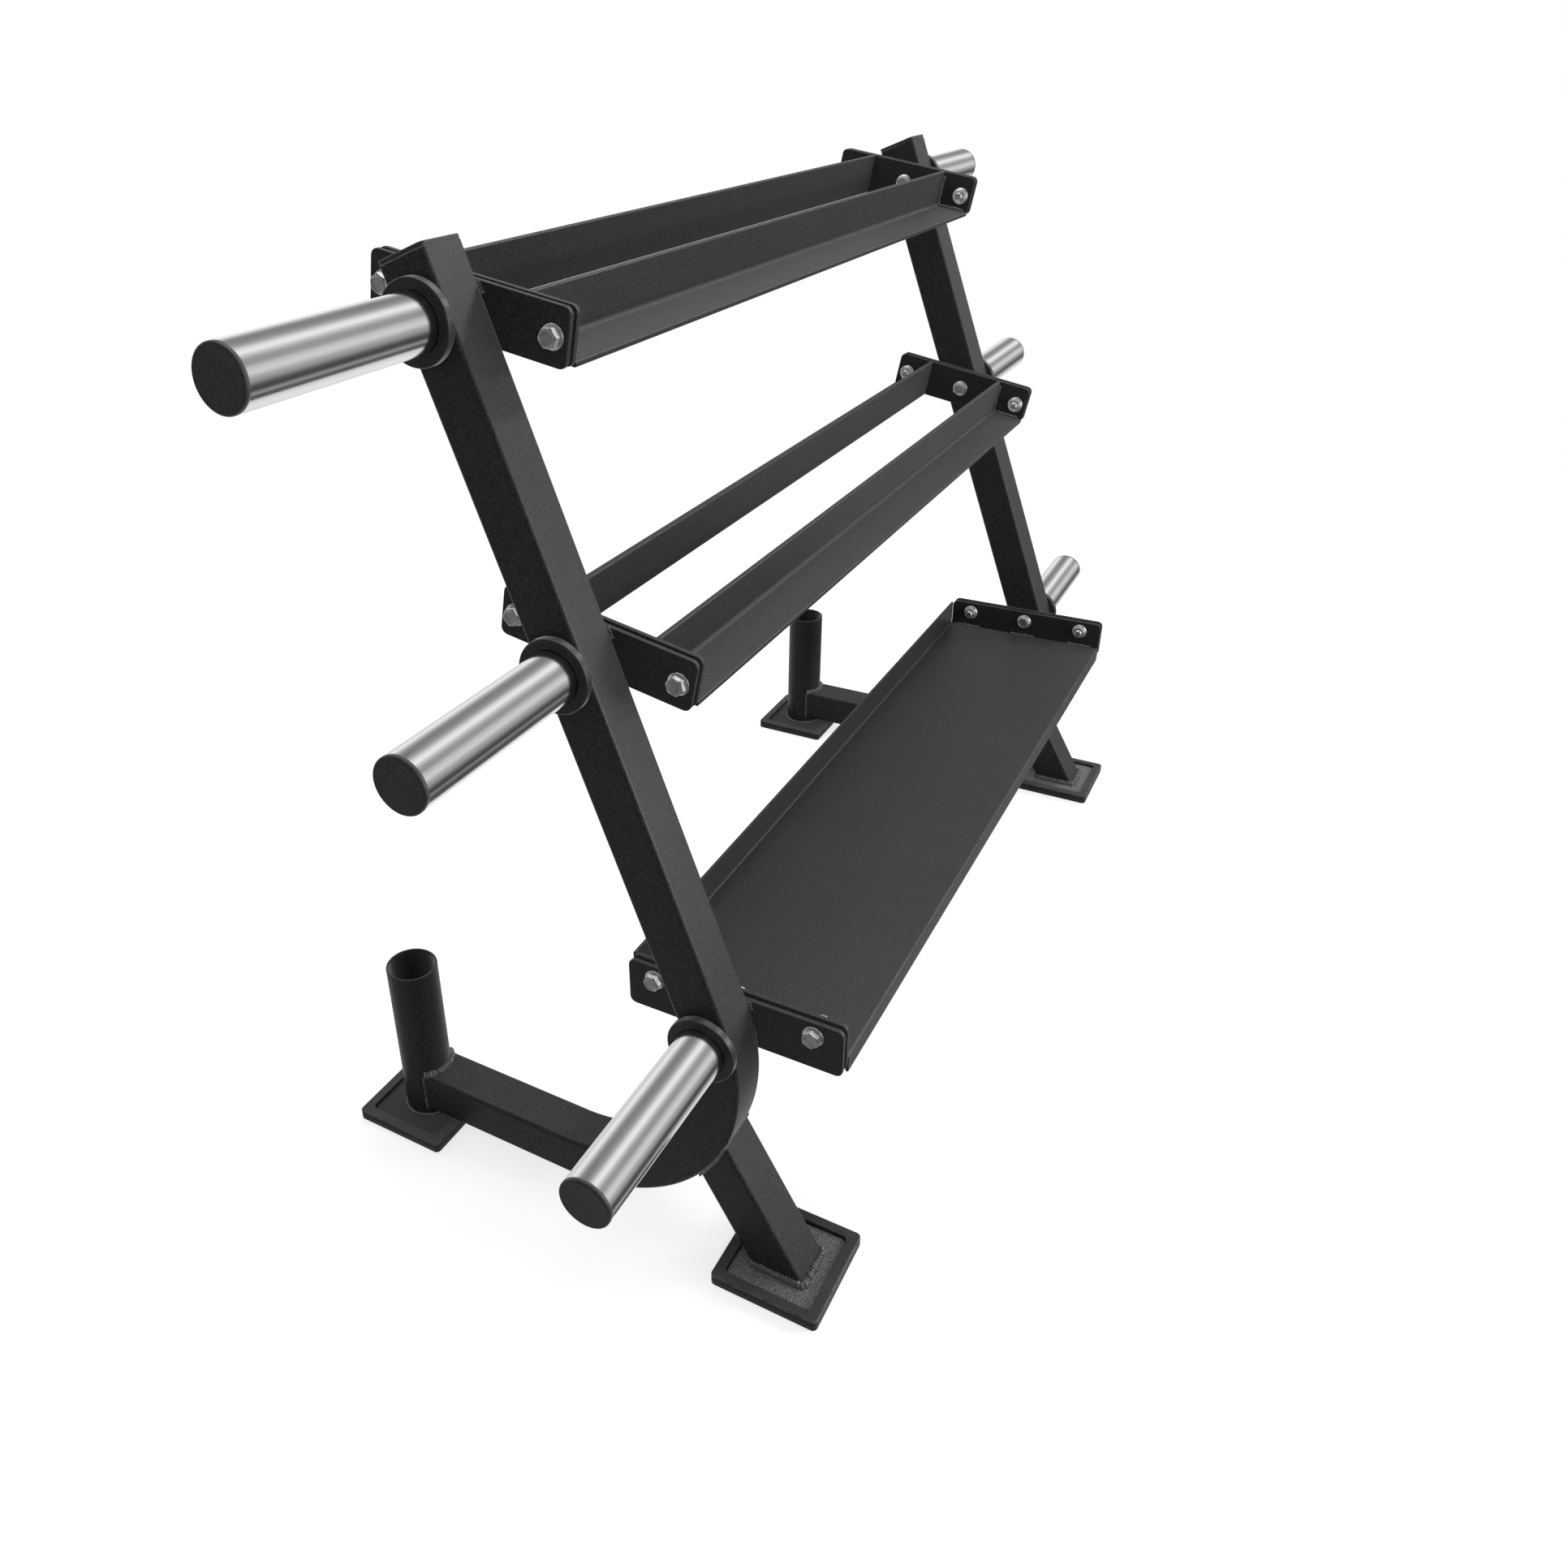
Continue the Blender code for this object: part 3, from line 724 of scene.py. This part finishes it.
def spacers(shelf, side, x):
    bm = start()
    for y in (-BOLT_SPACING, 0.0, BOLT_SPACING):
        place = Matrix.Translation((x, y, 0)) @ Matrix.Rotation(math.pi / 2, 4, "Y")
        bmesh.ops.create_cone(bm, cap_ends=True, segments=48, radius1=SPACER_RADIUS,
                              radius2=SPACER_RADIUS, depth=SPACER_LENGTH, matrix=place)
    obj = to_object(bm, f"spacers_{shelf}_{side}", zinc)
    return settle(obj, mirrored(side) @ shelf_place(shelf))


for shelf in SHELVES:
    for side in SIDES:
        inner, outer = shelf_end(shelf, side)
        middle_gap = (inner + STEEL + outer) / 2
        print(spacers(shelf, side, middle_gap).name, "fill the slot at", round(middle_gap, 4))

# %% [markdown]
# ## Bolts and nuts
# The shelves hang on flanged hexagon bolts. A real head starts as a hexagonal prism whose
# corners are turned off, so the prism here is intersected with a turned dome. The shank's
# thread is a row of turned ridges, which is all that shows past the nut.


# %% Bolts and nuts
FLANGE_RADIUS, HEX_RADIUS = 0.0106, 0.0090
HEAD_TOP, NUT_TOP, HEX_FOOT = 0.0086, 0.0082, 0.0020
THREAD_RADIUS, THREAD_PITCH, THREAD_DEPTH, THREAD_END = 0.0050, 0.00125, 0.0005, 0.0128


def hexagon(low, high):
    """A hexagonal prism with its corners turned off at the top and a shallow dish in it."""
    bm = start()
    bmesh.ops.create_cone(bm, cap_ends=True, segments=6, radius1=HEX_RADIUS,
                          radius2=HEX_RADIUS, depth=high - low,
                          matrix=Matrix.Translation((0, 0, (low + high) / 2)))
    obj = to_object(bm, "hexagon", zinc)
    flat, wide = HEX_RADIUS * 0.80, HEX_RADIUS * 1.02
    outline = [(0.0, low - 0.001), (wide, low - 0.001), (wide, high - 0.0013), (flat, high),
               (flat * 0.90, high), (flat * 0.84, high - 0.0004), (0.0, high - 0.0005)]
    return combine(obj, to_object(turned(outline, 72), "tool", zinc), "INTERSECT")


def flange():
    outline = [(0.0, 0.0), (FLANGE_RADIUS - 0.0003, 0.0),
               *arc((FLANGE_RADIUS - 0.0007, 0.0007), 0.0007, -60, 75, 4),
               (HEX_RADIUS * 0.93, HEX_FOOT + 0.0010), (0.0, HEX_FOOT + 0.0010)]
    return to_object(turned(outline, 72), "flange", zinc)


def threaded_end(low, high):
    ridges = []
    for i in range(int((high - low) / THREAD_PITCH)):
        ridges += [(THREAD_RADIUS - THREAD_DEPTH, low + THREAD_PITCH * i),
                   (THREAD_RADIUS, low + THREAD_PITCH * (i + 0.5))]
    outline = [(0.0, low), *ridges, (THREAD_RADIUS - 0.0011, high), (0.0, high)]
    return to_object(turned(outline, 48), "thread", zinc)


def kit_mesh(parts):
    """One mesh of several closed parts that sit on each other."""
    bm = start()
    for part in parts:
        bm.from_mesh(part.data)
        bpy.data.objects.remove(part, do_unlink=True)
    mesh = bpy.data.meshes.new("kit")
    bm.to_mesh(mesh)
    bm.free()
    return mesh


bolt_mesh = kit_mesh([flange(), hexagon(HEX_FOOT, HEAD_TOP)])
nut_mesh = kit_mesh([flange(), hexagon(HEX_FOOT, NUT_TOP),
                     threaded_end(NUT_TOP - 0.0010, THREAD_END)])
print("bolt head", len(bolt_mesh.polygons), "faces, nut", len(nut_mesh.polygons), "faces")

# %% [markdown]
# Every bolt is turned to its own angle, as a spanner leaves it. The outer bolts go in from
# outside with their nuts inside; the middle bolt goes through the end plate into the
# upright, so its head is inside.


# %% Bolting the shelves on
def bolted(name, shelf, side, fittings, stands_for=()):
    """Several bolt heads or nuts of one shelf end in one piece."""
    bm = start()
    for mesh, x, y, outward, angle in fittings:
        fresh = len(bm.verts)
        bm.from_mesh(mesh)
        bm.verts.ensure_lookup_table()
        lay = Matrix.Rotation(math.pi / 2 * (-1 if outward else 1), 4, "Y")
        place = Matrix.Translation((x, y, 0)) @ lay @ Matrix.Rotation(angle, 4, "Z")
        bmesh.ops.transform(bm, verts=bm.verts[fresh:], matrix=place)
    obj = to_object(bm, name, zinc)
    return settle(obj, mirrored(side) @ shelf_place(shelf), stands_for, crease=24)


for number, shelf in enumerate(SHELVES):
    for side in SIDES:
        outside = edge_x(f"bracket_{shelf}_left", "left", True)
        inside = edge_x(f"end_plate_{shelf}_left", "left", False)
        turn = 0.35 + 0.7 * number + 0.4 * SIDES[side]
        outer = [(bolt_mesh, outside, y, True, turn + 9 * y) for y in (-BOLT_SPACING, BOLT_SPACING)]
        outer += [(nut_mesh, inside, y, False, turn - 7 * y) for y in (-BOLT_SPACING, BOLT_SPACING)]
        bolted(f"bolts_{shelf}_{side}", shelf, side, outer)
        middle = [(bolt_mesh, inside, 0.0, False, turn)]
        fixed = bolted(f"middle_bolt_{shelf}_{side}", shelf, side, middle,
                       [f"centre_bolt_{shelf}_{side}"])
        print(fixed.name, "at x", round(inside, 4))

# %% [markdown]
# ## Pegs, collars and end caps
# The plate pegs are round tube laid along the rack. Each has a thick collar against the
# upright, to keep a plate off the paint, and a push-in cap. All three are turned shapes;
# the small radii at their edges are what draws the bright lines round them.


# %% Turned pieces on the pegs
PEG_RADIUS, PEG_WALL = 0.025, 0.003
COLLAR_RADIUS, COLLAR_SOFT, BORE_SOFT = 0.035, 0.0016, 0.0008
PEG_CAP_THICKNESS, PEG_CAP_RIM, PEG_PLUG = 0.0040, 0.0022, 0.0140


def lay_along(shelf, side, x):
    """Turn a Z-axis piece so that its top points outwards from the rack."""
    spot = middle_of(f"peg_{shelf}_{side}")
    return Matrix.Translation((x, spot.y, spot.z)) @ Matrix.Rotation(
        SIDES[side] * math.pi / 2, 4, "Y")


def peg(shelf, side):
    low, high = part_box(f"peg_{shelf}_{side}")
    length, soft = high[0] - low[0], 0.0006
    bore = PEG_RADIUS - PEG_WALL
    outline = [(PEG_RADIUS, 0.0), *arc((PEG_RADIUS - soft, length - soft), soft, 0, 90, 3),
               (bore, length), (bore, 0.0)]
    obj = to_object(turned(outline, 160), f"chrome_peg_{shelf}_{side}", chrome)
    return settle(obj, lay_along(shelf, side, edge_x(f"peg_{shelf}_{side}", side, False)),
                  [f"peg_{shelf}_{side}"])


def collar(shelf, side):
    low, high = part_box(f"collar_{shelf}_{side}")
    thick = high[0] - low[0]
    bore, soft = PEG_RADIUS + HAIR_GAP, COLLAR_SOFT
    outline = [*arc((bore + BORE_SOFT, thick - BORE_SOFT), BORE_SOFT, 180, 90, 3),
               *arc((COLLAR_RADIUS - soft, thick - soft), soft, 90, 0, 6),
               *arc((COLLAR_RADIUS - soft, soft), soft, 0, -90, 6), (bore, 0.0)]
    obj = to_object(turned(outline, 128), f"plate_collar_{shelf}_{side}", collar_plastic)
    return settle(obj, lay_along(shelf, side, edge_x(f"collar_{shelf}_{side}", side, False)),
                  [f"collar_{shelf}_{side}"])


def end_cap(shelf, side):
    """The cap's face is a very shallow dish inside a rounded rim."""
    thick, rim, plug = PEG_CAP_THICKNESS, PEG_CAP_RIM, PEG_RADIUS - PEG_WALL - HAIR_GAP
    face = PEG_RADIUS - rim - 0.0006
    outline = [(0.0, thick - 0.00025), (face, thick - 0.00020), (PEG_RADIUS - rim, thick),
               *arc((PEG_RADIUS - rim, thick - rim), rim, 75, 0, 6), (PEG_RADIUS, 0.0004),
               (PEG_RADIUS - 0.0005, 0.0), (plug, 0.0), (plug, -PEG_PLUG), (0.0, -PEG_PLUG)]
    obj = to_object(turned(outline, 128), f"peg_cap_{shelf}_{side}", plastic)
    start_x = edge_x(f"peg_{shelf}_{side}", side, True) + SIDES[side] * HAIR_GAP
    return settle(obj, lay_along(shelf, side, start_x), [f"end_cap_{shelf}_{side}"])


for shelf in SHELVES:
    for side in SIDES:
        print(peg(shelf, side).name, "with", collar(shelf, side).name, "and",
              end_cap(shelf, side).name)

# %% [markdown]
# ## Angle rails
# The two upper shelves are open: dumbbell heads rest on a pair of rolled steel angles with
# their legs upright. Rolled angle has a generous root fillet and rounded toes, so an L is
# grown from a square bar by two pushes and its long edges are rounded one by one.


# %% Angle rails
RAIL_LEG, RAIL_INNER, RAIL_ROOT, RAIL_TOE, RAIL_SOFT = 0.050, 0.050, 0.0045, 0.0014, 0.0008
span = 2 * abs(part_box("tray")[0][0])


def bar_block(bm, y_low, y_high, z_low, z_high):
    middle = Vector((0, (y_low + y_high) / 2, (z_low + z_high) / 2))
    size = Matrix.Diagonal((span, y_high - y_low, z_high - z_low, 1.0))
    bmesh.ops.create_cube(bm, size=1.0, matrix=Matrix.Translation(middle) @ size)
    bmesh.ops.recalc_face_normals(bm, faces=bm.faces)


def facing(bm, direction):
    """The flat face that lies furthest out in one direction."""
    out = Vector(direction)
    return [max(bm.faces, key=lambda flat: flat.calc_center_median().dot(out))]


def long_edges(bm, y, z):
    return [edge for edge in bm.edges
            if all(abs(v.co.y - y) < 1e-6 and abs(v.co.z - z) < 1e-6 for v in edge.verts)]


def roll(bm, places, radius, steps):
    soften(bm, [edge for y, z in places for edge in long_edges(bm, y, z)], radius, steps)


def unmark(bm):
    """A deep fillet gets no painted edge highlight."""
    mark = bm.faces.layers.float["edge"]
    for face in bm.faces:
        face[mark] = 0.0


def rail(shelf, row):
    out, low = (-1 if row == "front" else 1), PLATE_LOW[shelf]
    back, face = out * RAIL_INNER, out * (RAIL_INNER + STEEL)
    toe = out * (RAIL_INNER + RAIL_LEG)
    bm = start()
    bar_block(bm, min(back, face), max(back, face), low, low + STEEL)
    upright, outer = facing(bm, (0, 0, 1)), facing(bm, (0, out, 0))
    push(bm, upright, (0, 0, RAIL_LEG - STEEL))
    push(bm, outer, (0, toe - face, 0))
    roll(bm, [(face, low + STEEL)], RAIL_ROOT, 6)
    unmark(bm)
    roll(bm, [(toe, low + STEEL), (face, low + RAIL_LEG), (back, low + RAIL_LEG)], RAIL_TOE, 3)
    roll(bm, [(back, low), (toe, low)], RAIL_SOFT, 2)
    obj = to_object(bm, f"angle_{shelf}_{row}", coat)
    return settle(obj, shelf_place(shelf), [f"rail_{shelf}_{row}"])


for shelf in ("top", "middle"):
    for row in ("front", "rear"):
        print(rail(shelf, row).name, "spans", round(span, 4), "m")

# %% [markdown]
# ## Tray
# The lowest shelf is folded sheet: a flat floor, a lip turned up along the back and one
# turned down along the front. A press brake leaves a round fold with a matching inside
# radius, and the outer front fold is marked as edge, so the coat paints a highlight along it.


# %% Folded tray
SHEET, FOLD, SHEET_SOFT = 0.003, 0.002, 0.0006
TRAY_TOP, REAR_TOP, FRONT_LOW = -0.0235, 0.012, -0.043
TRAY_REAR, TRAY_FRONT = 0.118, -0.1155


def tray():
    under = TRAY_TOP - SHEET
    bm = start()
    bar_block(bm, TRAY_REAR - SHEET, TRAY_REAR, under, TRAY_TOP)
    lip, floor = facing(bm, (0, 0, 1)), facing(bm, (0, -1, 0))
    push(bm, lip, (0, 0, REAR_TOP - TRAY_TOP))
    floor = push(bm, floor, (0, TRAY_FRONT + 2 * SHEET - TRAY_REAR, 0))
    push(bm, floor, (0, -SHEET, 0))
    last = [face for face in bm.faces
            if abs(face.calc_center_median().y - (TRAY_FRONT + SHEET / 2)) < 1e-6
            and abs(face.calc_center_median().z - under) < 1e-6]
    push(bm, last, (0, 0, FRONT_LOW - under))
    roll(bm, [(TRAY_REAR - SHEET, TRAY_TOP), (TRAY_FRONT + SHEET, under)], FOLD, 6)
    roll(bm, [(TRAY_REAR, under)], FOLD + SHEET, 8)
    unmark(bm)
    roll(bm, [(TRAY_FRONT, TRAY_TOP)], FOLD + SHEET, 8)
    roll(bm, [(TRAY_REAR, REAR_TOP), (TRAY_REAR - SHEET, REAR_TOP), (TRAY_FRONT, FRONT_LOW),
              (TRAY_FRONT + SHEET, FRONT_LOW)], SHEET_SOFT, 2)
    obj = to_object(bm, "folded_tray", coat)
    return settle(obj, shelf_place("bottom"), ["tray"])


print(tray().name, "is", round(TRAY_REAR - TRAY_FRONT, 4), "m deep")

# %% [markdown]
# ## Welds
# A weld bead is a row of small frozen puddles. Each bead is a curve along the joint whose
# thickness swells and shrinks with the puddles; made a mesh, it is roughened a little with
# noise that depends only on the place, so that no two puddles match and every run gives the
# same bead. The powder coat covers them with the rest; their copy of it is lighter, a painted
# highlight.


# %% Weld beads
PUDDLE, STEP = 0.0034, 0.0009
SWELL, WANDER, LUMP = 0.17, 0.34, 0.00036


def resample(points, closed):
    """Evenly spaced points along a path of straight runs."""
    path = [Vector(p) for p in points] + ([Vector(points[0])] if closed else [])
    fine = []
    for a, b in zip(path, path[1:]):
        count = max(1, round((b - a).length / STEP))
        fine += [a.lerp(b, i / count) for i in range(count)]
    return fine if closed else fine + [path[-1]]


def bead_curve(data, points, width, closed=False):
    fine = resample(points, closed)
    spline = data.splines.new("POLY")
    spline.points.add(len(fine) - 1)
    spline.use_cyclic_u = closed
    for i, (point, here) in enumerate(zip(spline.points, fine)):
        puddle = SWELL * math.sin(2 * math.pi * i * STEP / PUDDLE)
        wander = WANDER * noise.noise(here * 140)
        point.co = (*here, 1.0)
        point.radius = width / 2 * (1 + puddle + wander)


def weld(name, runs, place=Matrix.Identity(4)):
    """Beads along several runs of (points, width, closed), as one piece."""
    data = bpy.data.curves.new(name, "CURVE")
    data.dimensions, data.use_fill_caps = "3D", True
    data.bevel_depth, data.bevel_resolution = 1.0, 3
    for points, width, closed in runs:
        bead_curve(data, points, width, closed)
    guide = bpy.data.objects.new(name, data)
    bpy.context.scene.collection.objects.link(guide)
    bpy.context.view_layer.update()
    shaped = guide.evaluated_get(bpy.context.evaluated_depsgraph_get())
    mesh = bpy.data.meshes.new_from_object(shaped)
    bpy.data.objects.remove(guide, do_unlink=True)
    bm = start()
    bm.from_mesh(mesh)
    for vert in bm.verts:
        lump = noise.noise(vert.co * 900) + 1.4 * noise.noise(vert.co * 380)
        vert.co += vert.normal * LUMP * lump
    return settle(to_object(bm, name, highlit_weld_coat), place, crease=80)


print("a puddle every", PUDDLE * 1000, "mm")

# %% [markdown]
# The frame's own welds run round the leg's foot, where the leg meets the bend, round the bar
# holder's foot, and over the rail where it is coped to the holder.


# %% Frame welds
FOOT_BEAD, HEAD_BEAD, OVER_BEAD, RING_BEAD, SIDE_BEAD = 0.0082, 0.0022, 0.0088, 0.0042, 0.0030


def corner_loop(width, depth, corner, centre, height):
    """Points round a rounded rectangle lying flat."""
    loop = []
    for sx, sy, first in ((1, 1, 0), (-1, 1, 90), (-1, -1, 180), (1, -1, 270)):
        middle = (sx * (width / 2 - corner), sy * (depth / 2 - corner))
        loop += [(x, centre + y, height) for x, y in arc(middle, corner, first, first + 90, 4)]
    return loop


def leg_on_bend(across, along):
    """Where a line up the leg, across and along its section, meets the bend."""
    centre = bend_centre()[0]
    up = Vector((0, math.sin(LEG_LEAN), math.cos(LEG_LEAN)))
    out = Vector((0, math.cos(LEG_LEAN), -math.sin(LEG_LEAN)))
    foot = Vector((0, -foot_y, PLATE_TOP)) + out * along
    gap = Vector((0, centre.y, centre.z)) - foot
    reach = gap.dot(up) - math.sqrt(gap.dot(up) ** 2 - gap.length_squared + BEND_RADIUS ** 2)
    meet = foot + up * reach
    return Vector((across, meet.y, meet.z))


def leg_head_loop():
    half = TUBE / 2 + 0.0004
    steps = [half * (i / 6 - 1) for i in range(13)]
    return ([leg_on_bend(-half, v) for v in reversed(steps)]
            + [leg_on_bend(half, v) for v in steps])


def holder_runs():
    radius, top, low = HOLDER_RADIUS + 0.0006, BASE_MIDDLE + TUBE / 2, BASE_MIDDLE - TUBE / 2
    reach = math.asin((TUBE / 2 - 0.001) / radius)

    def on_holder(angle, height):
        return (radius * math.sin(angle), holder_y - radius * math.cos(angle), height)

    over = [on_holder(reach * (i / 8 - 1), top) for i in range(17)]
    ring = [on_holder(math.pi * i / 24, PLATE_TOP + 0.0006) for i in range(48)]
    sides = [([on_holder(turn, top - 0.003), on_holder(turn, low)], SIDE_BEAD, False)
             for turn in (-reach * 1.04, reach * 1.04)]
    return [(over, OVER_BEAD, False), (ring, RING_BEAD, True), *sides]


for side in SIDES:
    depth = TUBE / math.cos(LEG_LEAN)
    foot = corner_loop(TUBE + 0.0012, depth + 0.0012, TUBE_CORNER, -foot_y, PLATE_TOP + 0.0007)
    runs = [(foot, FOOT_BEAD, True), (leg_head_loop(), HEAD_BEAD, True), *holder_runs()]
    beads = weld(f"frame_welds_{side}", runs, Matrix.Translation((SIDES[side] * frame_x, 0, 0)))
    print(beads.name, len(beads.data.polygons), "faces")

# %% [markdown]
# Each bracket is held to the upright by a short stitch at the top of the tube's two inner
# corners, where it shows, and the angles and the tray are welded to their end plates from
# the side that dumbbells don't touch.


# %% Shelf welds
STITCH, STITCH_BEAD, RAIL_BEAD = 0.009, 0.0042, 0.0050


def along_upright(shelf, setback, height):
    """The point of the upright's side at a height in the shelf's own axes."""
    place = shelf_place(shelf)
    normal = place.to_3x3() @ Vector((0, 0, 1))
    first = CORNER + BACK * setback
    drop = ((first - place.translation).dot(normal) - height) / UP.dot(normal)
    return first - UP * drop


def bracket_runs(shelf, x):
    high = PLATE_HIGH[shelf] - 0.0005
    runs = []
    for setback in (0.0008, TUBE - 0.0008):
        ends = [along_upright(shelf, setback, height) for height in (high - STITCH, high)]
        runs.append(([(x, p.y, p.z) for p in ends], STITCH_BEAD, False))
    return runs


def rail_run(row, low, x):
    out = -1 if row == "front" else 1
    face, floor = RAIL_INNER + STEEL + 0.0004, low + STEEL + 0.0004
    root = arc((face + RAIL_ROOT, floor + RAIL_ROOT), RAIL_ROOT, 180, 270, 5)
    line = [(face, low + RAIL_LEG - 0.006), *root, (RAIL_INNER + RAIL_LEG - 0.006, floor)]
    return [(x, out * y, z) for y, z in line], RAIL_BEAD, False


def shelf_runs(shelf, x):
    if shelf != "bottom":
        return [rail_run(row, PLATE_LOW[shelf], x) for row in ("front", "rear")]
    stitches = ((0.106, 0.070), (0.018, -0.018), (-0.070, -0.104))
    return [([(x, a, TRAY_TOP), (x, b, TRAY_TOP)], STITCH_BEAD, False) for a, b in stitches]


for shelf in SHELVES:
    for side in SIDES:
        seam = edge_x(f"bracket_{shelf}_{side}", side, True)
        weld(f"bracket_welds_{shelf}_{side}", bracket_runs(shelf, seam))
        joint = SIDES[side] * (span / 2 - 0.0004)
        ends = weld(f"end_welds_{shelf}_{side}", shelf_runs(shelf, joint), shelf_place(shelf))
        print(ends.name, "run across", shelf, "shelf's end")

# %% [markdown]
# ## Floor
# The rack stands on a plain pale floor. It gives the camera some light of its own, so that
# only faint shadows show under the rack, and further out it fades into the white sky.
# Reflections don't see it.

# %% Floor
FLOOR_HALF, FADE_START, FADE_END = 14.0, 0.6, 2.2


def pale_floor():
    """Nearly white near the rack and pure white from the end of the fade on."""
    paint = Paint("pale_floor", Roughness=0.9, Specular_IOR_Level=0.0, Emission_Strength=1.0)
    eye = paint.node("ShaderNodeLightPath", {}, {}, "Is Camera Ray")
    away = paint.node("ShaderNodeVectorMath", {"operation": "LENGTH"}, {0: paint.place}, 1)
    far = away.ramp(FADE_START, FADE_END) * eye
    glow = paint.blend(far, grey(0.72), grey(1.0))
    paint.feed("Emission Color", paint.blend(eye, grey(0.0), glow))
    paint.feed("Base Color", paint.blend(far, grey(0.40), grey(0.0)))
    bm = bmesh.new()
    bmesh.ops.create_grid(bm, x_segments=1, y_segments=1, size=FLOOR_HALF)
    floor = to_object(bm, "floor", paint.material)
    floor.visible_glossy = False
    return floor


print(pale_floor().name, "laid")

# %% [markdown]
# ## What the chrome sees
# Chrome has no colour of its own, only its surroundings, so they are drawn for it. Round a
# tube that lies along X, a reflection depends on one angle: front, overhead, back, below.
# The sky of this studio is a ring of soft bands over that angle, white ones high in front and
# behind, a pale one in front, a dark one under it and light grey for the floor, and the
# whole ring is dimmer on the left, away from the light. The lamps don't shine on the pegs,
# and most of the rack is hidden from reflections, so the pegs show this ring and little else.

# %% Ring of soft bands
BANDS = ((-180, 0.80), (-150, 0.75), (-110, 0.95), (-78, 0.80), (-60, 0.40), (-44, 0.05),
         (-36, 0.08), (-12, 0.42), (8, 0.80), (20, 0.68), (36, 0.36), (48, 0.38), (60, 0.66),
         (72, 1.10), (84, 0.90), (96, 0.46), (108, 0.30), (128, 0.24), (142, 0.42),
         (156, 0.85), (170, 1.10), (180, 0.80))
LEFT_SHARE, EVEN_LIGHT = 0.25, 0.53


class Sky(Paint):
    """The world's nodes, with the same wires as a material's."""

    def __init__(self, name):
        world = bpy.data.worlds.new(name)
        world.use_nodes = True
        self.tree = world.node_tree
        self.shader = self.tree.nodes["Background"]
        self.place = self.node("ShaderNodeTexCoord", {}, {}, "Generated")
        bpy.context.scene.world = world


def studio_sky():
    """Bands to mirrors, an even grey to matt surfaces and white to the camera."""
    sky = Sky("studio")
    x, y, z = (sky.node("ShaderNodeSeparateXYZ", {}, {"Vector": sky.place}, axis)
               for axis in "XYZ")
    turn = z.math("ARCTAN2", z, -y) * (0.5 / math.pi) + 0.5
    stops = [((angle + 180) / 360, grey(level)) for angle, level in BANDS]
    bands = sky.node("ShaderNodeValToRGB", {"stops": stops}, {"Fac": turn})
    side = LEFT_SHARE + (1 - LEFT_SHARE) * x.ramp(-0.55, 0.15)
    ring = sky.blend(side, grey(0.0), bands)
    matt = sky.node("ShaderNodeLightPath", {}, {}, "Is Diffuse Ray")
    eye = sky.node("ShaderNodeLightPath", {}, {}, "Is Camera Ray")
    lit = sky.blend(matt, ring, grey(EVEN_LIGHT))
    sky.feed("Color", sky.blend(eye, lit, grey(1.0)))


studio_sky()
print(len(BANDS), "bands round the rack")

# %% [markdown]
# ## Lamps
# A small key lamp from the right and the front throws the brackets' diagonal shadows. A long
# strip hangs overhead, a wide one stands in front, and a large soft lamp on the right lights
# the faces turned to it. A little lamp low down lights the left front foot. In the pegs,
# lamps would show as hard white patches and the steel as dark ones. So the lamps leave the
# pegs out, and only the tray, the feet and the collars stay visible to reflections.


# %% Lamps
MIRRORED = ("folded", "shoe", "plate_")


def area_light(name, place, target, size, power):
    data = bpy.data.lights.new(name, "AREA")
    data.shape, data.size, data.size_y, data.energy = "RECTANGLE", size[0], size[1], power
    light = bpy.data.objects.new(name, data)
    light.location = place
    aim = Vector(target) - Vector(place)
    light.rotation_euler = aim.to_track_quat("-Z", "Y").to_euler()
    bpy.context.scene.collection.objects.link(light)
    return light


def spare_the_chrome(lights):
    """Unlink the pegs from the lamps, and hide most other pieces from reflections."""
    pegs = bpy.data.collections.new("pegs")
    for obj in bpy.data.objects:
        if obj.name.startswith("chrome_peg"):
            pegs.objects.link(obj)
        elif obj.type == "MESH" and not obj.name.startswith(MIRRORED):
            obj.visible_glossy = False
    for member in pegs.collection_objects:
        member.light_linking.link_state = "EXCLUDE"
    for light in lights:
        light.light_linking.receiver_collection = pegs


bpy.context.scene.view_settings.view_transform = "Standard"
lamps = [area_light("key", (2.9, -2.3, 3.0), (0, 0, 0.4), size=(0.65, 0.65), power=38),
         area_light("low", (-0.1, -1.1, 0.5), (-0.54, -0.24, 0.0), size=(0.3, 0.3), power=4),
         area_light("overhead", (0.7, 0.45, 2.7), (0.4, 0.1, 0), size=(3.0, 0.9), power=34),
         area_light("front", (0.9, -3.4, 1.2), (0.3, 0, 0.8), size=(3.6, 0.5), power=44),
         area_light("right", (3.6, 0.8, 1.4), (0, 0, 0.6), size=(1.2, 1.6), power=20)]
lamps[-1].visible_glossy = False  # or it would streak the tray and the rails' flanges
spare_the_chrome(lamps)
print(len(lamps), "lamps")
